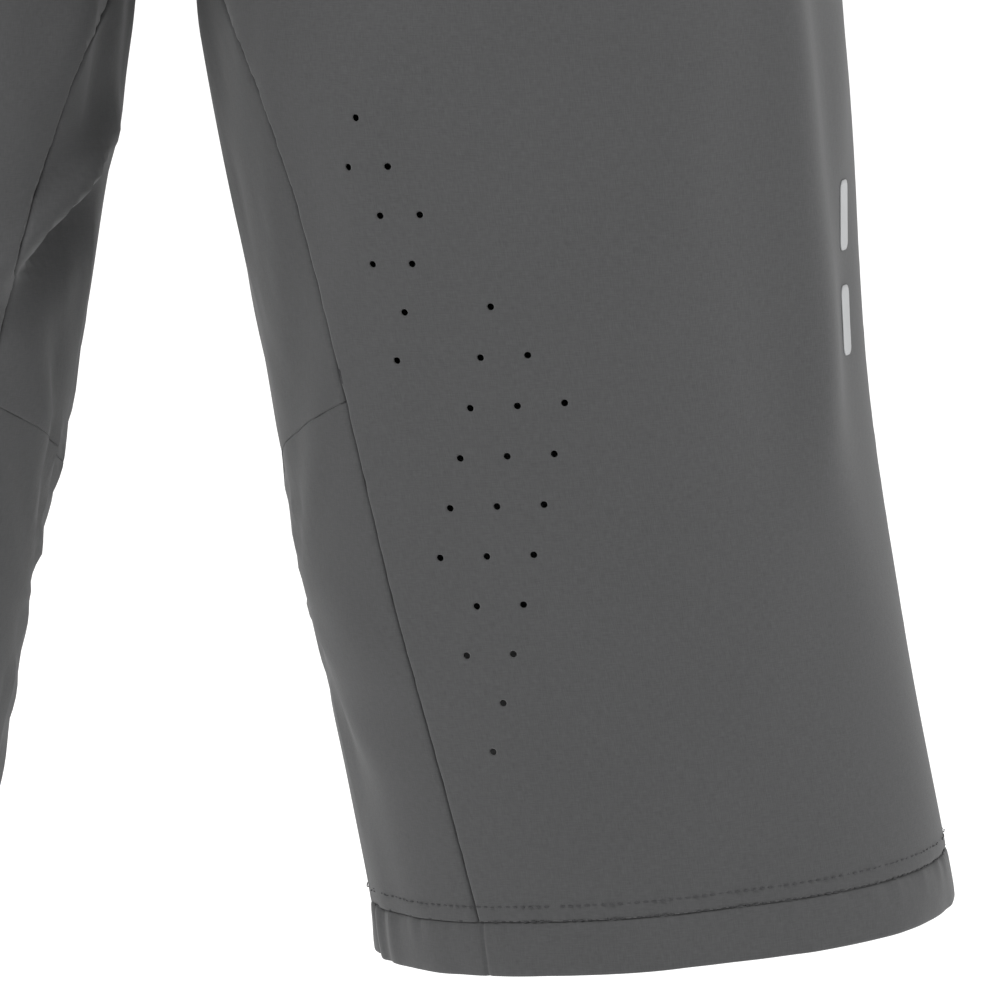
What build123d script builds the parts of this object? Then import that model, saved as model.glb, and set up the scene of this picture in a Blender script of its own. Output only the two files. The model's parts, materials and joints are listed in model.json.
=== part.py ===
from build123d import *
import os
from collections import namedtuple
from math import atan2, cos, degrees, radians, sin, sqrt

# Padded impact shorts: a loose woven outer short with a zip fly, two zip pockets and two waist adjusters,
# over a close-fitting liner that carries foam pads at the hips, thighs, seat and tailbone.
# Millimetres. The origin is the centre of the waist opening, +Z is up, the front faces -Y and +X is the
# wearer's left. The garment stands open as it does on a body.

# Outer short: overall sizes
waist_width = 316
waist_depth = 224
waist_tilt = 5
waistband_height = 42
rise = 258
inseam = 391
belly_drop = 110
belly_width = 372
belly_depth = 248
belly_back_shift = 6
hip_drop = 190
hip_width = 414
hip_depth = 269
hip_back_shift = 7
seat_drop = 232
seat_width = 344
seat_depth = 230
crotch_width = 200
crotch_depth = 140
crotch_back_shift = 8
leg_root_width = 196
leg_root_depth = 206
leg_root_centre = 105
thigh_inner = 2
thigh_outer = 222
thigh_depth = 228
thigh_back_shift = 5
knee_inner = 36
knee_outer = 240
knee_depth = 200
knee_back_shift = 8
hem_inner = 70
hem_outer = 269
hem_depth = 164
hem_back_shift = 10
hem_rise = 19
shell_thickness = 2

# Outer short: seams
hem_height = 19
hem_thickness = 3
inseam_panel_at_hem = 39
inseam_apex_above_crotch = 34
gusset_length = 188
side_seam_back = 14

# Waistband
waistband_thickness = 3
facing_thickness = 1.2
waistband_gap = 3

# Closure tab and its two snaps
tab_root = 18
tab_tip = 44
tab_height = 36
tab_thickness = 2
snap_offset = 30
snap_spacing = 18
snap_cap_diameter = 12.5
snap_cap_height = 1.4
snap_seat = 0.15
socket_diameter = 11
socket_thickness = 1.3
socket_bore = 5.1
stud_diameter = 4.5
stud_height = 1.5
stem_diameter = 3
stud_back_diameter = 10
stud_back_height = 1
stud_seat = 0.4
tab_clearance = 0.3

# Waist adjusters
adjuster_reach = 45
adjuster_travel = 18
adjuster_strap_height = 22
adjuster_tab_height = 26
adjuster_front = 25
adjuster_tab_end = 4
adjuster_back = 46
adjuster_strap_thickness = 1.6
adjuster_tab_thickness = 2.4
loop_patch_thickness = 1
loop_patch_height = 30
loop_patch_margin = 3
loop_patch_back = 8
keeper_front = 9
keeper_width = 11
keeper_wall = 1.5
adjuster_clearance = 0.6

# Zips
coil_width = 2.4
coil_gap = 1
coil_thickness = 1.6
tape_width = 9
tape_thickness = 0.6
tape_depth = 2.9
zip_slit = 12
slider_width = 9
slider_length = 11
slider_plate = 0.8
slider_blade = 0.5
slider_blade_length = 3
zip_clearance = 0.3
bridge_width = 2.2
bridge_length = 5
bridge_height = 2.6
pull_hole = 1.5
pull_pin = 1.1
pull_arm = 1
pull_length = 22
pull_thickness = 1.2
pull_arm_length = 5
zip_end = 2
stop_length = 1.6
fly_length = 118
fly_bottom_bulge = 3.8
fly_underlay_width = 38
fly_underlay_thickness = 0.8
fly_underlay_depth = 6.6
pocket_length = 120
pocket_top_drop = 74
pocket_top_angle = 40
pocket_bottom_drop = 188
pocket_bottom_angle = 50
pocket_bottom_bulge = 2.6
pocket_bag_depth = 8.4
pocket_bag_thickness = 1.2
pocket_bag_inner = 62
pocket_bag_outer = 158
pocket_bag_top = 66
pocket_bag_bottom = 226
pocket_bag_corner = 24
pocket_mouth_clearance = 1

# Reflective side marks
mark_thickness = 0.4
mark_height = 24
mark_width = 9
mark_drop = 405
mark_spacing = 36
mark_angle = 78
mark_corner = 3

# Liner
liner_waist_gap = 10
liner_band_height = 36
liner_band_thickness = 2.2
liner_front_gap = 13
liner_belly_side_gap = 18
liner_belly_back_gap = 20
liner_hip_side_gap = 23
liner_hip_back_gap = 25
liner_rise_gap = 12
liner_thickness = 1.5
liner_leg_gap = 20
liner_leg_inner = 9
liner_leg_short = 120
liner_leg_taper = 6
liner_root_taper = 60
liner_end_share = 0.25
gripper_height = 26
gripper_thickness = 2.5

# Pads
pad_thickness = 11
cover_thickness = 1
cover_flange = 6
hip_pad_width = 104
hip_pad_height = 140
hip_pad_drop = 196
thigh_pad_width = 92
thigh_pad_height = 130
thigh_pad_drop = 366
thigh_pad_angle = 38
seat_pad_width = 86
seat_pad_height = 96
seat_pad_drop = 206
seat_pad_centre = 80
tail_pad_width = 46
tail_pad_height = 104
tail_pad_drop = 150

reach = 2000

Station = namedtuple("Station", "place width depth")


# Shared placing
waist_frame = Rot(X=waist_tilt)
hem_lean = degrees(atan2(hem_rise, hem_outer - hem_inner))
hem_drop = rise + inseam - hem_rise / 2
waist_bottom = waist_frame * Pos(0, 0, -waistband_height)


def middle(inner, outer):
    return (inner + outer) / 2


def half_space(place):
    """Everything below the plane of a place, on its own -Z side."""
    return place * Pos(0, 0, -reach / 2) * Box(reach, reach, reach)


def mirrored(solid):
    return mirror(solid, about=Plane.YZ)


left_half = Pos(reach / 2, 0, 0) * Box(reach, reach, reach)


def oval(station, grow):
    """One cross-section, grown outward by a wall or a pad."""
    return station.place * Ellipse(station.width / 2 + grow, station.depth / 2 + grow)


def garment(pelvis, leg, grow):
    """The filled outline of a garment: a pelvis that closes at the crotch, and two legs."""
    *_, crotch = pelvis
    floor = Station(Pos(0, 0, -grow) * crotch.place, crotch.width, crotch.depth)
    body = loft([oval(station, grow) for station in [*pelvis[:-1], floor]])
    left = loft([oval(station, grow) for station in leg])
    return body + left + mirrored(left)


def layer(pelvis, leg, inner, outer):
    """The wall between two grown outlines of one garment."""
    return garment(pelvis, leg, outer) - garment(pelvis, leg, inner)


def inset(place, width, depth, side, front, back):
    """A cross-section set in from an outer one by its own gaps at the sides, front and back."""
    shifted = place * Pos(0, (front - back) / 2, 0)
    return Station(shifted, width - 2 * side, depth - front - back)


def shell_stations():
    """Cross-sections of the outer short, from the waist down. The first and last run past the cut edges."""
    pelvis = [
        Station(waist_frame, waist_width, waist_depth),
        Station(waist_bottom, waist_width, waist_depth),
        Station(Pos(0, belly_back_shift, -belly_drop), belly_width, belly_depth),
        Station(Pos(0, hip_back_shift, -hip_drop), hip_width, hip_depth),
        Station(Pos(0, crotch_back_shift, -seat_drop), seat_width, seat_depth),
        Station(Pos(0, crotch_back_shift, -rise), crotch_width, crotch_depth),
    ]
    hem = hem_place()
    leg = [
        Station(Pos(leg_root_centre, hip_back_shift, -hip_drop), leg_root_width, leg_root_depth),
        Station(Pos(middle(thigh_inner, thigh_outer), thigh_back_shift, -rise),
                thigh_outer - thigh_inner, thigh_depth),
        Station(Pos(middle(knee_inner, knee_outer), knee_back_shift, -rise - inseam / 2) * Rot(Y=-hem_lean / 2),
                knee_outer - knee_inner, knee_depth),
        Station(hem, hem_outer - hem_inner, hem_depth),
        Station(hem * Pos(0, 0, -hem_height), hem_outer - hem_inner, hem_depth),
    ]
    return pelvis, leg


def hem_place():
    """The plane of the left leg's bottom edge, higher at the outer side."""
    return Pos(middle(hem_inner, hem_outer), hem_back_shift, -hem_drop) * Rot(Y=-hem_lean)


def liner_stations():
    """Cross-sections of the liner, set in from the outer short by the room its pads need."""
    band = waist_frame * Pos(0, 0, -liner_band_height)
    leg_width = thigh_outer - thigh_inner - 2 * liner_leg_gap
    leg_depth = thigh_depth - 2 * liner_leg_gap
    top_x = middle(liner_leg_inner, liner_leg_inner + leg_width)
    end_x = middle(knee_inner, knee_outer) + (hem_inner - knee_inner) * liner_end_share
    end_z = -rise - inseam + liner_leg_short
    short_end = Pos(end_x, knee_back_shift, end_z)
    end_width = leg_width - 2 * liner_leg_taper
    end_depth = knee_depth - 2 * liner_leg_gap
    seat = Pos(0, crotch_back_shift, -seat_drop + liner_rise_gap)
    crotch = Pos(0, crotch_back_shift, -rise + liner_rise_gap)
    pelvis = [
        inset(waist_frame, waist_width, waist_depth, liner_waist_gap, liner_waist_gap, liner_waist_gap),
        inset(band, waist_width, waist_depth, liner_waist_gap, liner_waist_gap, liner_waist_gap),
        inset(Pos(0, belly_back_shift, -belly_drop), belly_width, belly_depth,
              liner_belly_side_gap, liner_front_gap, liner_belly_back_gap),
        inset(Pos(0, hip_back_shift, -hip_drop), hip_width, hip_depth,
              liner_hip_side_gap, liner_front_gap, liner_hip_back_gap),
        inset(seat, seat_width, seat_depth, liner_hip_side_gap, liner_front_gap, liner_hip_back_gap),
        inset(crotch, crotch_width, crotch_depth, liner_front_gap, liner_front_gap, liner_front_gap),
    ]
    leg = [
        Station(Pos(top_x, thigh_back_shift, -hip_drop), leg_width - liner_root_taper, leg_depth - liner_leg_gap),
        Station(Pos(top_x, thigh_back_shift, -rise), leg_width, leg_depth),
        Station(Pos(middle(top_x, end_x), knee_back_shift, (end_z - rise) / 2),
                leg_width - liner_leg_taper, middle(leg_depth, end_depth)),
        Station(short_end, end_width, end_depth),
        Station(short_end * Pos(0, 0, -gripper_height), end_width, end_depth),
    ]
    return pelvis, leg


shell = shell_stations()
liner = liner_stations()


# Zips. Each is drawn in its own frame: X across the tapes, Y up the zip, Z out of the garment, with the
# origin at its top end on the line of the outer fabric.
tape_top = -tape_depth
coil_top = tape_top + coil_thickness
plate_bottom = coil_top + zip_clearance
plate_top = plate_bottom + slider_plate
pin_height = plate_top + bridge_height / 2
pull_reach = zip_end + zip_clearance + slider_length / 2


def bar(width, length, bottom, top, x=0, y=0):
    """A block across X and along Y, between two heights in a zip's frame."""
    return Pos(x, y, middle(bottom, top)) * Box(width, length, top - bottom)


def zip_tapes(length):
    """Two woven tapes with the coil gap between them."""
    x = coil_gap / 2 + tape_width / 2
    right = bar(tape_width, length, tape_top - tape_thickness, tape_top, x, -length / 2)
    return right + mirrored(right)


def zip_coils(length):
    """Two moulded coils, one on the edge of each tape."""
    x = coil_gap / 2 + coil_width / 2
    right = bar(coil_width, length - 2 * zip_end, tape_top, coil_top, x, -length / 2)
    return right + mirrored(right)


def zip_stops(length):
    """Two top stops and one bottom stop, crimped on the ends of the coils."""
    x = coil_gap / 2 + coil_width / 2
    top = bar(coil_width, stop_length, tape_top, plate_bottom, x, -zip_end + stop_length / 2)
    bottom_width = 2 * coil_width + coil_gap
    bottom = bar(bottom_width, stop_length, tape_top, plate_bottom, 0, -length + zip_end - stop_length / 2)
    return top + mirrored(top) + bottom


def zip_slider():
    """Slider with two plates joined by a blade, side flanges and a pierced bridge for the pull."""
    y = -pull_reach
    under_top = tape_top - tape_thickness - zip_clearance
    top = bar(slider_width, slider_length, plate_bottom, plate_top, 0, y)
    under = bar(slider_width, slider_length, under_top - slider_plate, under_top, 0, y)
    blade_y = y + slider_length / 2 - slider_blade_length / 2
    blade = bar(slider_blade, slider_blade_length, under_top, plate_bottom, 0, blade_y)
    flange_inner = coil_gap / 2 + coil_width + zip_clearance
    flange_width = slider_width / 2 - flange_inner
    flange = bar(flange_width, slider_length, tape_top + zip_clearance, plate_bottom,
                 flange_inner + flange_width / 2, y)
    bridge = bar(bridge_width, bridge_length, plate_top, plate_top + bridge_height, 0, y)
    hole = Pos(0, y, pin_height) * Rot(Y=90) * Cylinder(pull_hole / 2, bridge_width + 2)
    return top + under + blade + flange + mirrored(flange) + bridge - hole


def zip_pull():
    """Pull whose two arms straddle the bridge on a pin, joined below into a flat grip."""
    arm_x = bridge_width / 2 + zip_clearance + pull_arm / 2
    grip_width = 2 * (arm_x + pull_arm / 2)
    low = pin_height - pull_thickness / 2
    high = pin_height + pull_thickness / 2
    arm = bar(pull_arm, pull_arm_length, low, high, arm_x, -pull_reach - pull_arm_length / 2)
    arm += Pos(arm_x, -pull_reach, pin_height) * Rot(Y=90) * Cylinder(pull_thickness / 2, pull_arm)
    grip_length = pull_length - pull_arm_length
    grip_y = -pull_reach - pull_arm_length - grip_length / 2
    grip = bar(grip_width, grip_length, low, high, 0, grip_y)
    pin = Pos(0, -pull_reach, pin_height) * Rot(Y=90) * Cylinder(pull_pin / 2, 2 * arm_x)
    return grip + arm + mirrored(arm) + pin


def zip_slot(length):
    """The slit that a zip needs in the fabric over it."""
    return Pos(0, -length / 2, 0) * Box(zip_slit, length, zip_slit)


def between(stations, drop):
    """Half sizes and centre of the pelvis at a height, straight between two of its stations."""
    for upper, lower in zip(stations, stations[1:]):
        top, bottom = upper.place.position, lower.place.position
        if bottom.Z <= -drop <= top.Z:
            share = (-drop - top.Z) / (bottom.Z - top.Z)
            half_width = (upper.width + share * (lower.width - upper.width)) / 2
            half_depth = (upper.depth + share * (lower.depth - upper.depth)) / 2
            return half_width, half_depth, top.Y + share * (bottom.Y - top.Y)


def on_pelvis(angle, drop, bulge=0):
    """The point of the outer short at an angle round from the front towards the wearer's left.

    The cloth bulges a little past the straight line between two stations.
    """
    half_width, half_depth, centre = between(shell[0], drop)
    turn = radians(angle)
    outward = Vector(sin(turn), -cos(turn), 0)
    return Vector(half_width * sin(turn), centre - half_depth * cos(turn), -drop) + outward * bulge


def zip_frame(top, bottom, across):
    """A zip's frame from its two ends and a direction across it."""
    up = (top - bottom).normalized()
    outward = across.cross(up).normalized()
    return Plane(origin=top, x_dir=up.cross(outward), z_dir=outward).location


def fly_frame():
    top = (waist_bottom * Pos(0, -waist_depth / 2, 0)).position
    bottom = on_pelvis(0, -top.Z + fly_length, fly_bottom_bulge)
    return zip_frame(top, bottom, Vector(1, 0, 0))


def pocket_frame():
    top = on_pelvis(pocket_top_angle, pocket_top_drop)
    bottom = on_pelvis(pocket_bottom_angle, pocket_bottom_drop, pocket_bottom_bulge)
    drop = middle(pocket_top_drop, pocket_bottom_drop)
    across = on_pelvis(pocket_bottom_angle, drop) - on_pelvis(pocket_top_angle, drop)
    return zip_frame(top, bottom, across)


fly = fly_frame()
pocket = pocket_frame()


# Outer short
def shell_panels():
    """The woven panels, cut from one wall along its seams, with turned hems."""
    wall = layer(*shell, -shell_thickness, 0) & half_space(waist_bottom)
    hem_wall = layer(*shell, -hem_thickness, 0) & left_half
    hem_slab = half_space(hem_place() * Pos(0, 0, hem_height)) - half_space(hem_place())
    hem_left = hem_wall & hem_slab
    leg_end = half_space(hem_place() * Pos(0, 0, hem_height)) & left_half
    wall -= leg_end + mirrored(leg_end)
    wedge = inseam_wedge()
    gusset_floor = half_space(Pos(0, 0, -rise - gusset_length))
    inner = wall & wedge
    outer = (wall - wedge) & left_half
    back_block = Pos(0, side_seam_back + reach / 2, 0) * Box(reach, reach, reach)
    front = outer - back_block
    slots = fly * (zip_slot(fly_length) + zip_tapes(fly_length))
    slots += pocket * (zip_slot(pocket_length) + zip_tapes(pocket_length))
    inner_leg = inner & gusset_floor & left_half
    return {
        "front_panel": front - slots,
        "back_panel": outer & back_block,
        "inner_leg_panel": inner_leg,
        "hem": hem_left,
        "crotch_gusset": inner - gusset_floor,
    }


def inseam_wedge():
    """The tapering part of both legs on the inner side of the front and back inseams."""
    apex = -rise + inseam_apex_above_crotch
    floor = -rise - inseam
    half = hem_inner + inseam_panel_at_hem
    outline = make_face(Polyline((0, apex), (half, floor), (-half, floor), close=True))
    return extrude(Plane.XZ * outline, reach / 2, both=True)


def oval_ring(half_width, half_depth, thickness, height, drop=0):
    """An upright oval band in the waist's frame, its top edge at a drop below the opening."""
    outer = Ellipse(half_width, half_depth)
    inner = Ellipse(half_width - thickness, half_depth - thickness)
    return waist_frame * Pos(0, 0, -drop - height) * extrude(outer - inner, height)


def front_of_waist(x):
    """A place on the waistband's outer face beside the front centre, Z pointing out of the garment."""
    half_width, half_depth = waist_width / 2, waist_depth / 2
    y = -half_depth * sqrt(1 - (x / half_width) ** 2)
    outward = Vector(x / half_width ** 2, y / half_depth ** 2, 0).normalized()
    flat = Plane(origin=(x, y, -waistband_height / 2), x_dir=outward.cross(Vector(0, 0, -1)), z_dir=outward)
    return waist_frame * flat.location


def snap_places():
    """The two snap centres, one above the other."""
    centre = front_of_waist(-snap_offset)
    return [centre * Pos(0, side * snap_spacing / 2, 0) for side in (-1, 1)]


def disc(diameter, bottom, top):
    return Pos(0, 0, middle(bottom, top)) * Cylinder(diameter / 2, top - bottom)


def waistband_pieces():
    """The band and its facing, open at the front and pierced for the stud stems."""
    gap = waist_frame * Pos(0, -reach / 2, 0) * Box(waistband_gap, reach, reach)
    holes = [place * disc(stem_diameter, -2 * waistband_thickness, 1) for place in snap_places()]
    band = oval_ring(waist_width / 2, waist_depth / 2, waistband_thickness, waistband_height)
    facing = oval_ring(waist_width / 2 - waistband_thickness, waist_depth / 2 - waistband_thickness,
                       facing_thickness, waistband_height)
    return {"waistband": band - gap - holes, "waistband_facing": facing - gap - holes}


socket_top = tab_clearance + socket_thickness
tab_top = socket_top + tab_thickness


def closure_pieces():
    """The tab that laps over the waistband's front, and the parts of its two snaps."""
    tab_wall = oval_ring(waist_width / 2 + tab_top, waist_depth / 2 + tab_top, tab_thickness, tab_height,
                         (waistband_height - tab_height) / 2)
    window = waist_frame * Pos(middle(-tab_tip, tab_root), -reach / 2, 0) * Box(tab_tip + tab_root, reach, reach)
    tab = tab_wall & window
    cap_bottom = tab_top + snap_seat
    caps, sockets, studs = [], [], []
    back = -waistband_thickness - facing_thickness - stud_seat
    for place in snap_places():
        cap = disc(snap_cap_diameter, cap_bottom, cap_bottom + snap_cap_height)
        cap = fillet(cap.edges().group_by(Axis.Z)[-1], snap_cap_height / 2)
        caps.append(place * (cap + disc(stem_diameter, socket_top, cap_bottom)))
        sockets.append(place * (disc(socket_diameter, tab_clearance, socket_top - tab_clearance)
                                - disc(socket_bore, 0, socket_top)))
        stud = disc(stud_diameter, 0, stud_height - tab_clearance) + disc(stem_diameter, back, 0)
        studs.append(place * (stud + disc(stud_back_diameter, back - stud_back_height, back)))
        tab -= place * disc(stem_diameter, 0, 2 * tab_top)
    return {
        "closure_tab": tab,
        "snap_caps": Compound(children=caps),
        "snap_sockets": Compound(children=sockets),
        "snap_studs": Compound(children=studs),
    }


# Waist adjusters, on the arc that follows the waistband's side
def side_arc():
    """Centre and radius of the arc through the band's side and two points a reach in front and behind."""
    half_width, half_depth = waist_width / 2, waist_depth / 2
    sag = half_width * (1 - sqrt(1 - (adjuster_reach / half_depth) ** 2))
    radius = (sag ** 2 + adjuster_reach ** 2) / (2 * sag)
    return half_width - radius, radius


def arc_strip(inner, outer, front, back, height):
    """A strip round the side arc from an angle in front of the side to one behind it."""
    centre, radius = side_arc()
    ring = Circle(radius + outer) - Circle(radius + inner)
    turn = (back - front) / 2
    wide = reach * sin(radians(turn)) / cos(radians(turn))
    wedge = make_face(Polyline((0, 0), (reach, -wide), (reach, wide), close=True))
    strip = extrude(ring & wedge, height / 2, both=True)
    return waist_frame * Pos(centre, 0, -waistband_height / 2) * Rot(Z=middle(front, back)) * strip


def adjuster_pieces():
    """The left adjuster: loop patch on the band, tab with its strap, and the keeper that the strap runs under."""
    band = waist_frame * Pos(0, 0, -waistband_height) * extrude(Ellipse(waist_width / 2, waist_depth / 2),
                                                                waistband_height)
    patch_front = adjuster_front + adjuster_travel + loop_patch_margin
    patch = arc_strip(-waistband_thickness, loop_patch_thickness, -patch_front, loop_patch_back, loop_patch_height)
    strap_low = loop_patch_thickness + adjuster_clearance
    strap_high = strap_low + adjuster_strap_thickness
    tab_high = strap_low + adjuster_tab_thickness
    strap = arc_strip(strap_low, strap_high, -adjuster_front, adjuster_back, adjuster_strap_height)
    tab = arc_strip(strap_low, tab_high, -adjuster_front, -adjuster_tab_end, adjuster_tab_height)
    keeper_back = keeper_front + keeper_width
    tunnel_high = strap_high + adjuster_clearance
    tunnel_height = adjuster_strap_height + 2 * adjuster_clearance
    keeper_height = tunnel_height + 2 * keeper_wall
    block = arc_strip(-waistband_thickness, tunnel_high + keeper_wall, keeper_front, keeper_back, keeper_height)
    tunnel_low = strap_low - adjuster_clearance / 2
    tunnel = arc_strip(tunnel_low, tunnel_high, keeper_front - 1, keeper_back + 1, tunnel_height)
    return {"adjuster_patch": patch - band, "adjuster_tab": strap + tab, "adjuster_keeper": block - tunnel - band}


# Liner and pads
def liner_pieces():
    """The stretch liner: front, back and leg tubes, its waistband and its leg grippers."""
    end_z = -rise - inseam + liner_leg_short
    wall = layer(*liner, -liner_thickness, 0) & half_space(waist_frame * Pos(0, 0, -liner_band_height))
    crotch_cut = half_space(Pos(0, 0, -rise + liner_rise_gap))
    leg = wall & crotch_cut & left_half
    leg -= half_space(Pos(0, 0, end_z + gripper_height))
    pelvis = wall - crotch_cut
    back_block = Pos(0, side_seam_back + reach / 2, 0) * Box(reach, reach, reach)
    grip_wall = layer(*liner, -gripper_thickness, 0) & left_half
    grip = grip_wall & half_space(Pos(0, 0, end_z + gripper_height))
    half_width = waist_width / 2 - liner_waist_gap
    half_depth = waist_depth / 2 - liner_waist_gap
    band = oval_ring(half_width, half_depth, liner_band_thickness, liner_band_height)
    return {
        "liner_leg": leg,
        "leg_gripper": grip - half_space(Pos(0, 0, end_z)),
        "liner_front": pelvis - back_block,
        "liner_back": pelvis & back_block,
        "liner_waistband": band,
    }


def pad_outline(width, height, place, grow=0):
    """A prism with an oval outline, running out of the garment from a place along its own Z."""
    return place * extrude(Ellipse(width / 2 + grow, height / 2 + grow), reach / 2)


def facing_place(x, y, drop, angle):
    """A place looking out of the garment, at an angle round from the front towards the wearer's left."""
    turn = radians(angle)
    outward = Vector(sin(turn), -cos(turn), 0)
    return Plane(origin=(x, y, -drop), x_dir=(cos(turn), sin(turn), 0), z_dir=outward).location


def pad_sites():
    """Each pad's outline sizes and place, on the wearer's left or at the centre."""
    leg_x = middle(thigh_inner, thigh_outer)
    return {
        "hip": (hip_pad_width, hip_pad_height, facing_place(leg_x, hip_back_shift, hip_pad_drop, 90)),
        "thigh": (thigh_pad_width, thigh_pad_height,
                  facing_place(leg_x, thigh_back_shift, thigh_pad_drop, thigh_pad_angle)),
        "seat": (seat_pad_width, seat_pad_height, facing_place(seat_pad_centre, 0, seat_pad_drop, 180)),
        "tail": (tail_pad_width, tail_pad_height, facing_place(0, 0, tail_pad_drop, 180)),
    }


def pad_pieces():
    """Foam pads on the liner and the covers that hold them, each with a thin sewing flange."""
    foam_layer = layer(*liner, 0, pad_thickness)
    cover_layer = layer(*liner, 0, pad_thickness + cover_thickness)
    flange_layer = layer(*liner, 0, cover_thickness)
    foams, covers = {}, {}
    for name, site in pad_sites().items():
        foams[name] = foam_layer & pad_outline(*site)
        cap = cover_layer & pad_outline(*site, cover_thickness)
        covers[name] = cap + (flange_layer & pad_outline(*site, cover_flange)) - foams[name]
    return foams, covers


def side_marks():
    """Two short reflective bars on the outer side of the left leg."""
    film = layer(*shell, 0, mark_thickness)
    marks = []
    for drop in (mark_drop - mark_spacing / 2, mark_drop + mark_spacing / 2):
        place = facing_place(middle(knee_inner, knee_outer), 0, drop, mark_angle)
        marks.append(film & place * extrude(RectangleRounded(mark_width, mark_height, mark_corner), reach / 2))
    return Compound(children=marks)


def pocket_bag():
    """A flat bag hanging behind the left pocket zip, its mouth open to the zip."""
    bag = layer(*shell, -pocket_bag_depth - pocket_bag_thickness, -pocket_bag_depth)
    width = pocket_bag_outer - pocket_bag_inner
    height = pocket_bag_bottom - pocket_bag_top
    window = RectangleRounded(width, height, pocket_bag_corner)
    place = facing_place(middle(pocket_bag_inner, pocket_bag_outer), 0, middle(pocket_bag_top, pocket_bag_bottom), 0)
    mouth_width = 2 * (tape_width + pocket_mouth_clearance) + coil_gap
    mouth = Box(mouth_width, pocket_length + 2 * zip_end, reach)
    return (bag & place * extrude(window, reach / 2)) - pocket * Pos(0, -pocket_length / 2, 0) * mouth


def fly_underlay():
    """The strip of fabric behind the fly zip."""
    low, high = -fly_underlay_depth - fly_underlay_thickness, -fly_underlay_depth
    return fly * bar(fly_underlay_width, fly_length, low, high, 0, -fly_length / 2)


def build():
    """Every node of the shorts by name."""
    nodes = {}

    def both(name, solid):
        nodes[name + "_left"] = solid
        nodes[name + "_right"] = mirrored(solid)

    panels = shell_panels()
    nodes["crotch_gusset"] = panels.pop("crotch_gusset")
    for name, solid in panels.items():
        both(name, solid)
    nodes.update(waistband_pieces())
    nodes.update(closure_pieces())
    nodes["fly_tapes"] = fly * zip_tapes(fly_length)
    nodes["fly_coils"] = fly * zip_coils(fly_length)
    nodes["fly_stops"] = fly * zip_stops(fly_length)
    nodes["fly_slider"] = fly * zip_slider()
    nodes["fly_pull"] = fly * zip_pull()
    nodes["fly_underlay"] = fly_underlay()
    both("pocket_tapes", pocket * zip_tapes(pocket_length))
    both("pocket_coils", pocket * zip_coils(pocket_length))
    both("pocket_slider", pocket * zip_slider())
    both("pocket_pull", pocket * zip_pull())
    both("pocket_bag", pocket_bag())
    for name, solid in adjuster_pieces().items():
        both(name, solid)
    both("side_mark", side_marks())
    pieces = liner_pieces()
    both("liner_leg", pieces.pop("liner_leg"))
    both("leg_gripper", pieces.pop("leg_gripper"))
    nodes.update(pieces)
    foams, covers = pad_pieces()
    nodes["tail_pad"] = foams.pop("tail")
    nodes["tail_pad_cover"] = covers.pop("tail")
    for name in foams:
        both(name + "_pad", foams[name])
        both(name + "_pad_cover", covers[name])
    return nodes


os.makedirs("parts", exist_ok=True)
for node, solid in build().items():
    export_step(solid, f"parts/{node}.step")
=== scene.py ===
import json
import math

import bmesh
import bpy
import numpy as np
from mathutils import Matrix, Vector
from mathutils.geometry import delaunay_2d_cdt


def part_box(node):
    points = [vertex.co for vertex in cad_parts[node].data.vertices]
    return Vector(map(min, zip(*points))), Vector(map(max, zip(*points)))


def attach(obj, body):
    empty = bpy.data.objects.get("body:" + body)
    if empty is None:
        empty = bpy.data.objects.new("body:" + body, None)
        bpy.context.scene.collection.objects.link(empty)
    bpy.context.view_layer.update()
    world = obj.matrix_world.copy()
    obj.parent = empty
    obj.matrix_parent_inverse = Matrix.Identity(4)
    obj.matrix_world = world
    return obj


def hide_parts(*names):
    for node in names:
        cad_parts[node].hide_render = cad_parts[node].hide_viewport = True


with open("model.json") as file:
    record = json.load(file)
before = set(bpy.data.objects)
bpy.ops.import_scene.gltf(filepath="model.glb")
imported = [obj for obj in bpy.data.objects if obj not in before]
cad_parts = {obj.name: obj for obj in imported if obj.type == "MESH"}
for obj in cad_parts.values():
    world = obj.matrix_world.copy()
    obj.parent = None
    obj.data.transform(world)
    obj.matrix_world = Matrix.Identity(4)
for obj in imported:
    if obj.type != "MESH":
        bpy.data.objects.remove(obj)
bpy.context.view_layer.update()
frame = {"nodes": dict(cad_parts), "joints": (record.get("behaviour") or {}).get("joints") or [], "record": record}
nodes = frame["nodes"]
joints = {joint["name"]: joint for joint in frame["joints"]}
mounts = {mount["name"]: mount for mount in frame["record"]["mounts"]}


# Sizes in metres, all in the frame of the garment
cloth = 0.0006
seam_width = 0.0026
seam_depth = 0.0012
stitch_pitch = 0.0029
stitch_length = 0.0021
thread_radius = 0.00026
hem_height = 0.019
needle_gap = 0.0056
vent_radius = 0.0012
wedge_apex = -0.224
gusset_end = -0.441
side_seam_y = 0.014
fly_half_slit = 0.0052
fly_end = -0.1695
cloth_round, cloth_down = 0.70, 0.62
flip = np.array([-1.0, 1.0, 1.0])


# ---------------------------------------------------------------- reading the frame
def points_of(*names):
    """Every vertex of some CAD nodes, as rows of x, y, z."""
    found = []
    for name in names:
        mesh = nodes[name].data
        co = np.empty(3 * len(mesh.vertices))
        mesh.vertices.foreach_get("co", co)
        found.append(co.reshape(-1, 3))
    return np.concatenate(found)


def edges_of(*names):
    """The two ends of every mesh edge of some CAD nodes."""
    found = []
    for name in names:
        mesh = nodes[name].data
        ends = np.empty(2 * len(mesh.edges), int)
        mesh.edges.foreach_get("vertices", ends)
        found.append(points_of(name)[ends.reshape(-1, 2)])
    return np.concatenate(found)


def unit(vectors):
    vectors = np.asarray(vectors, float)
    return vectors / np.maximum(np.linalg.norm(vectors, axis=-1, keepdims=True), 1e-12)


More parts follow.
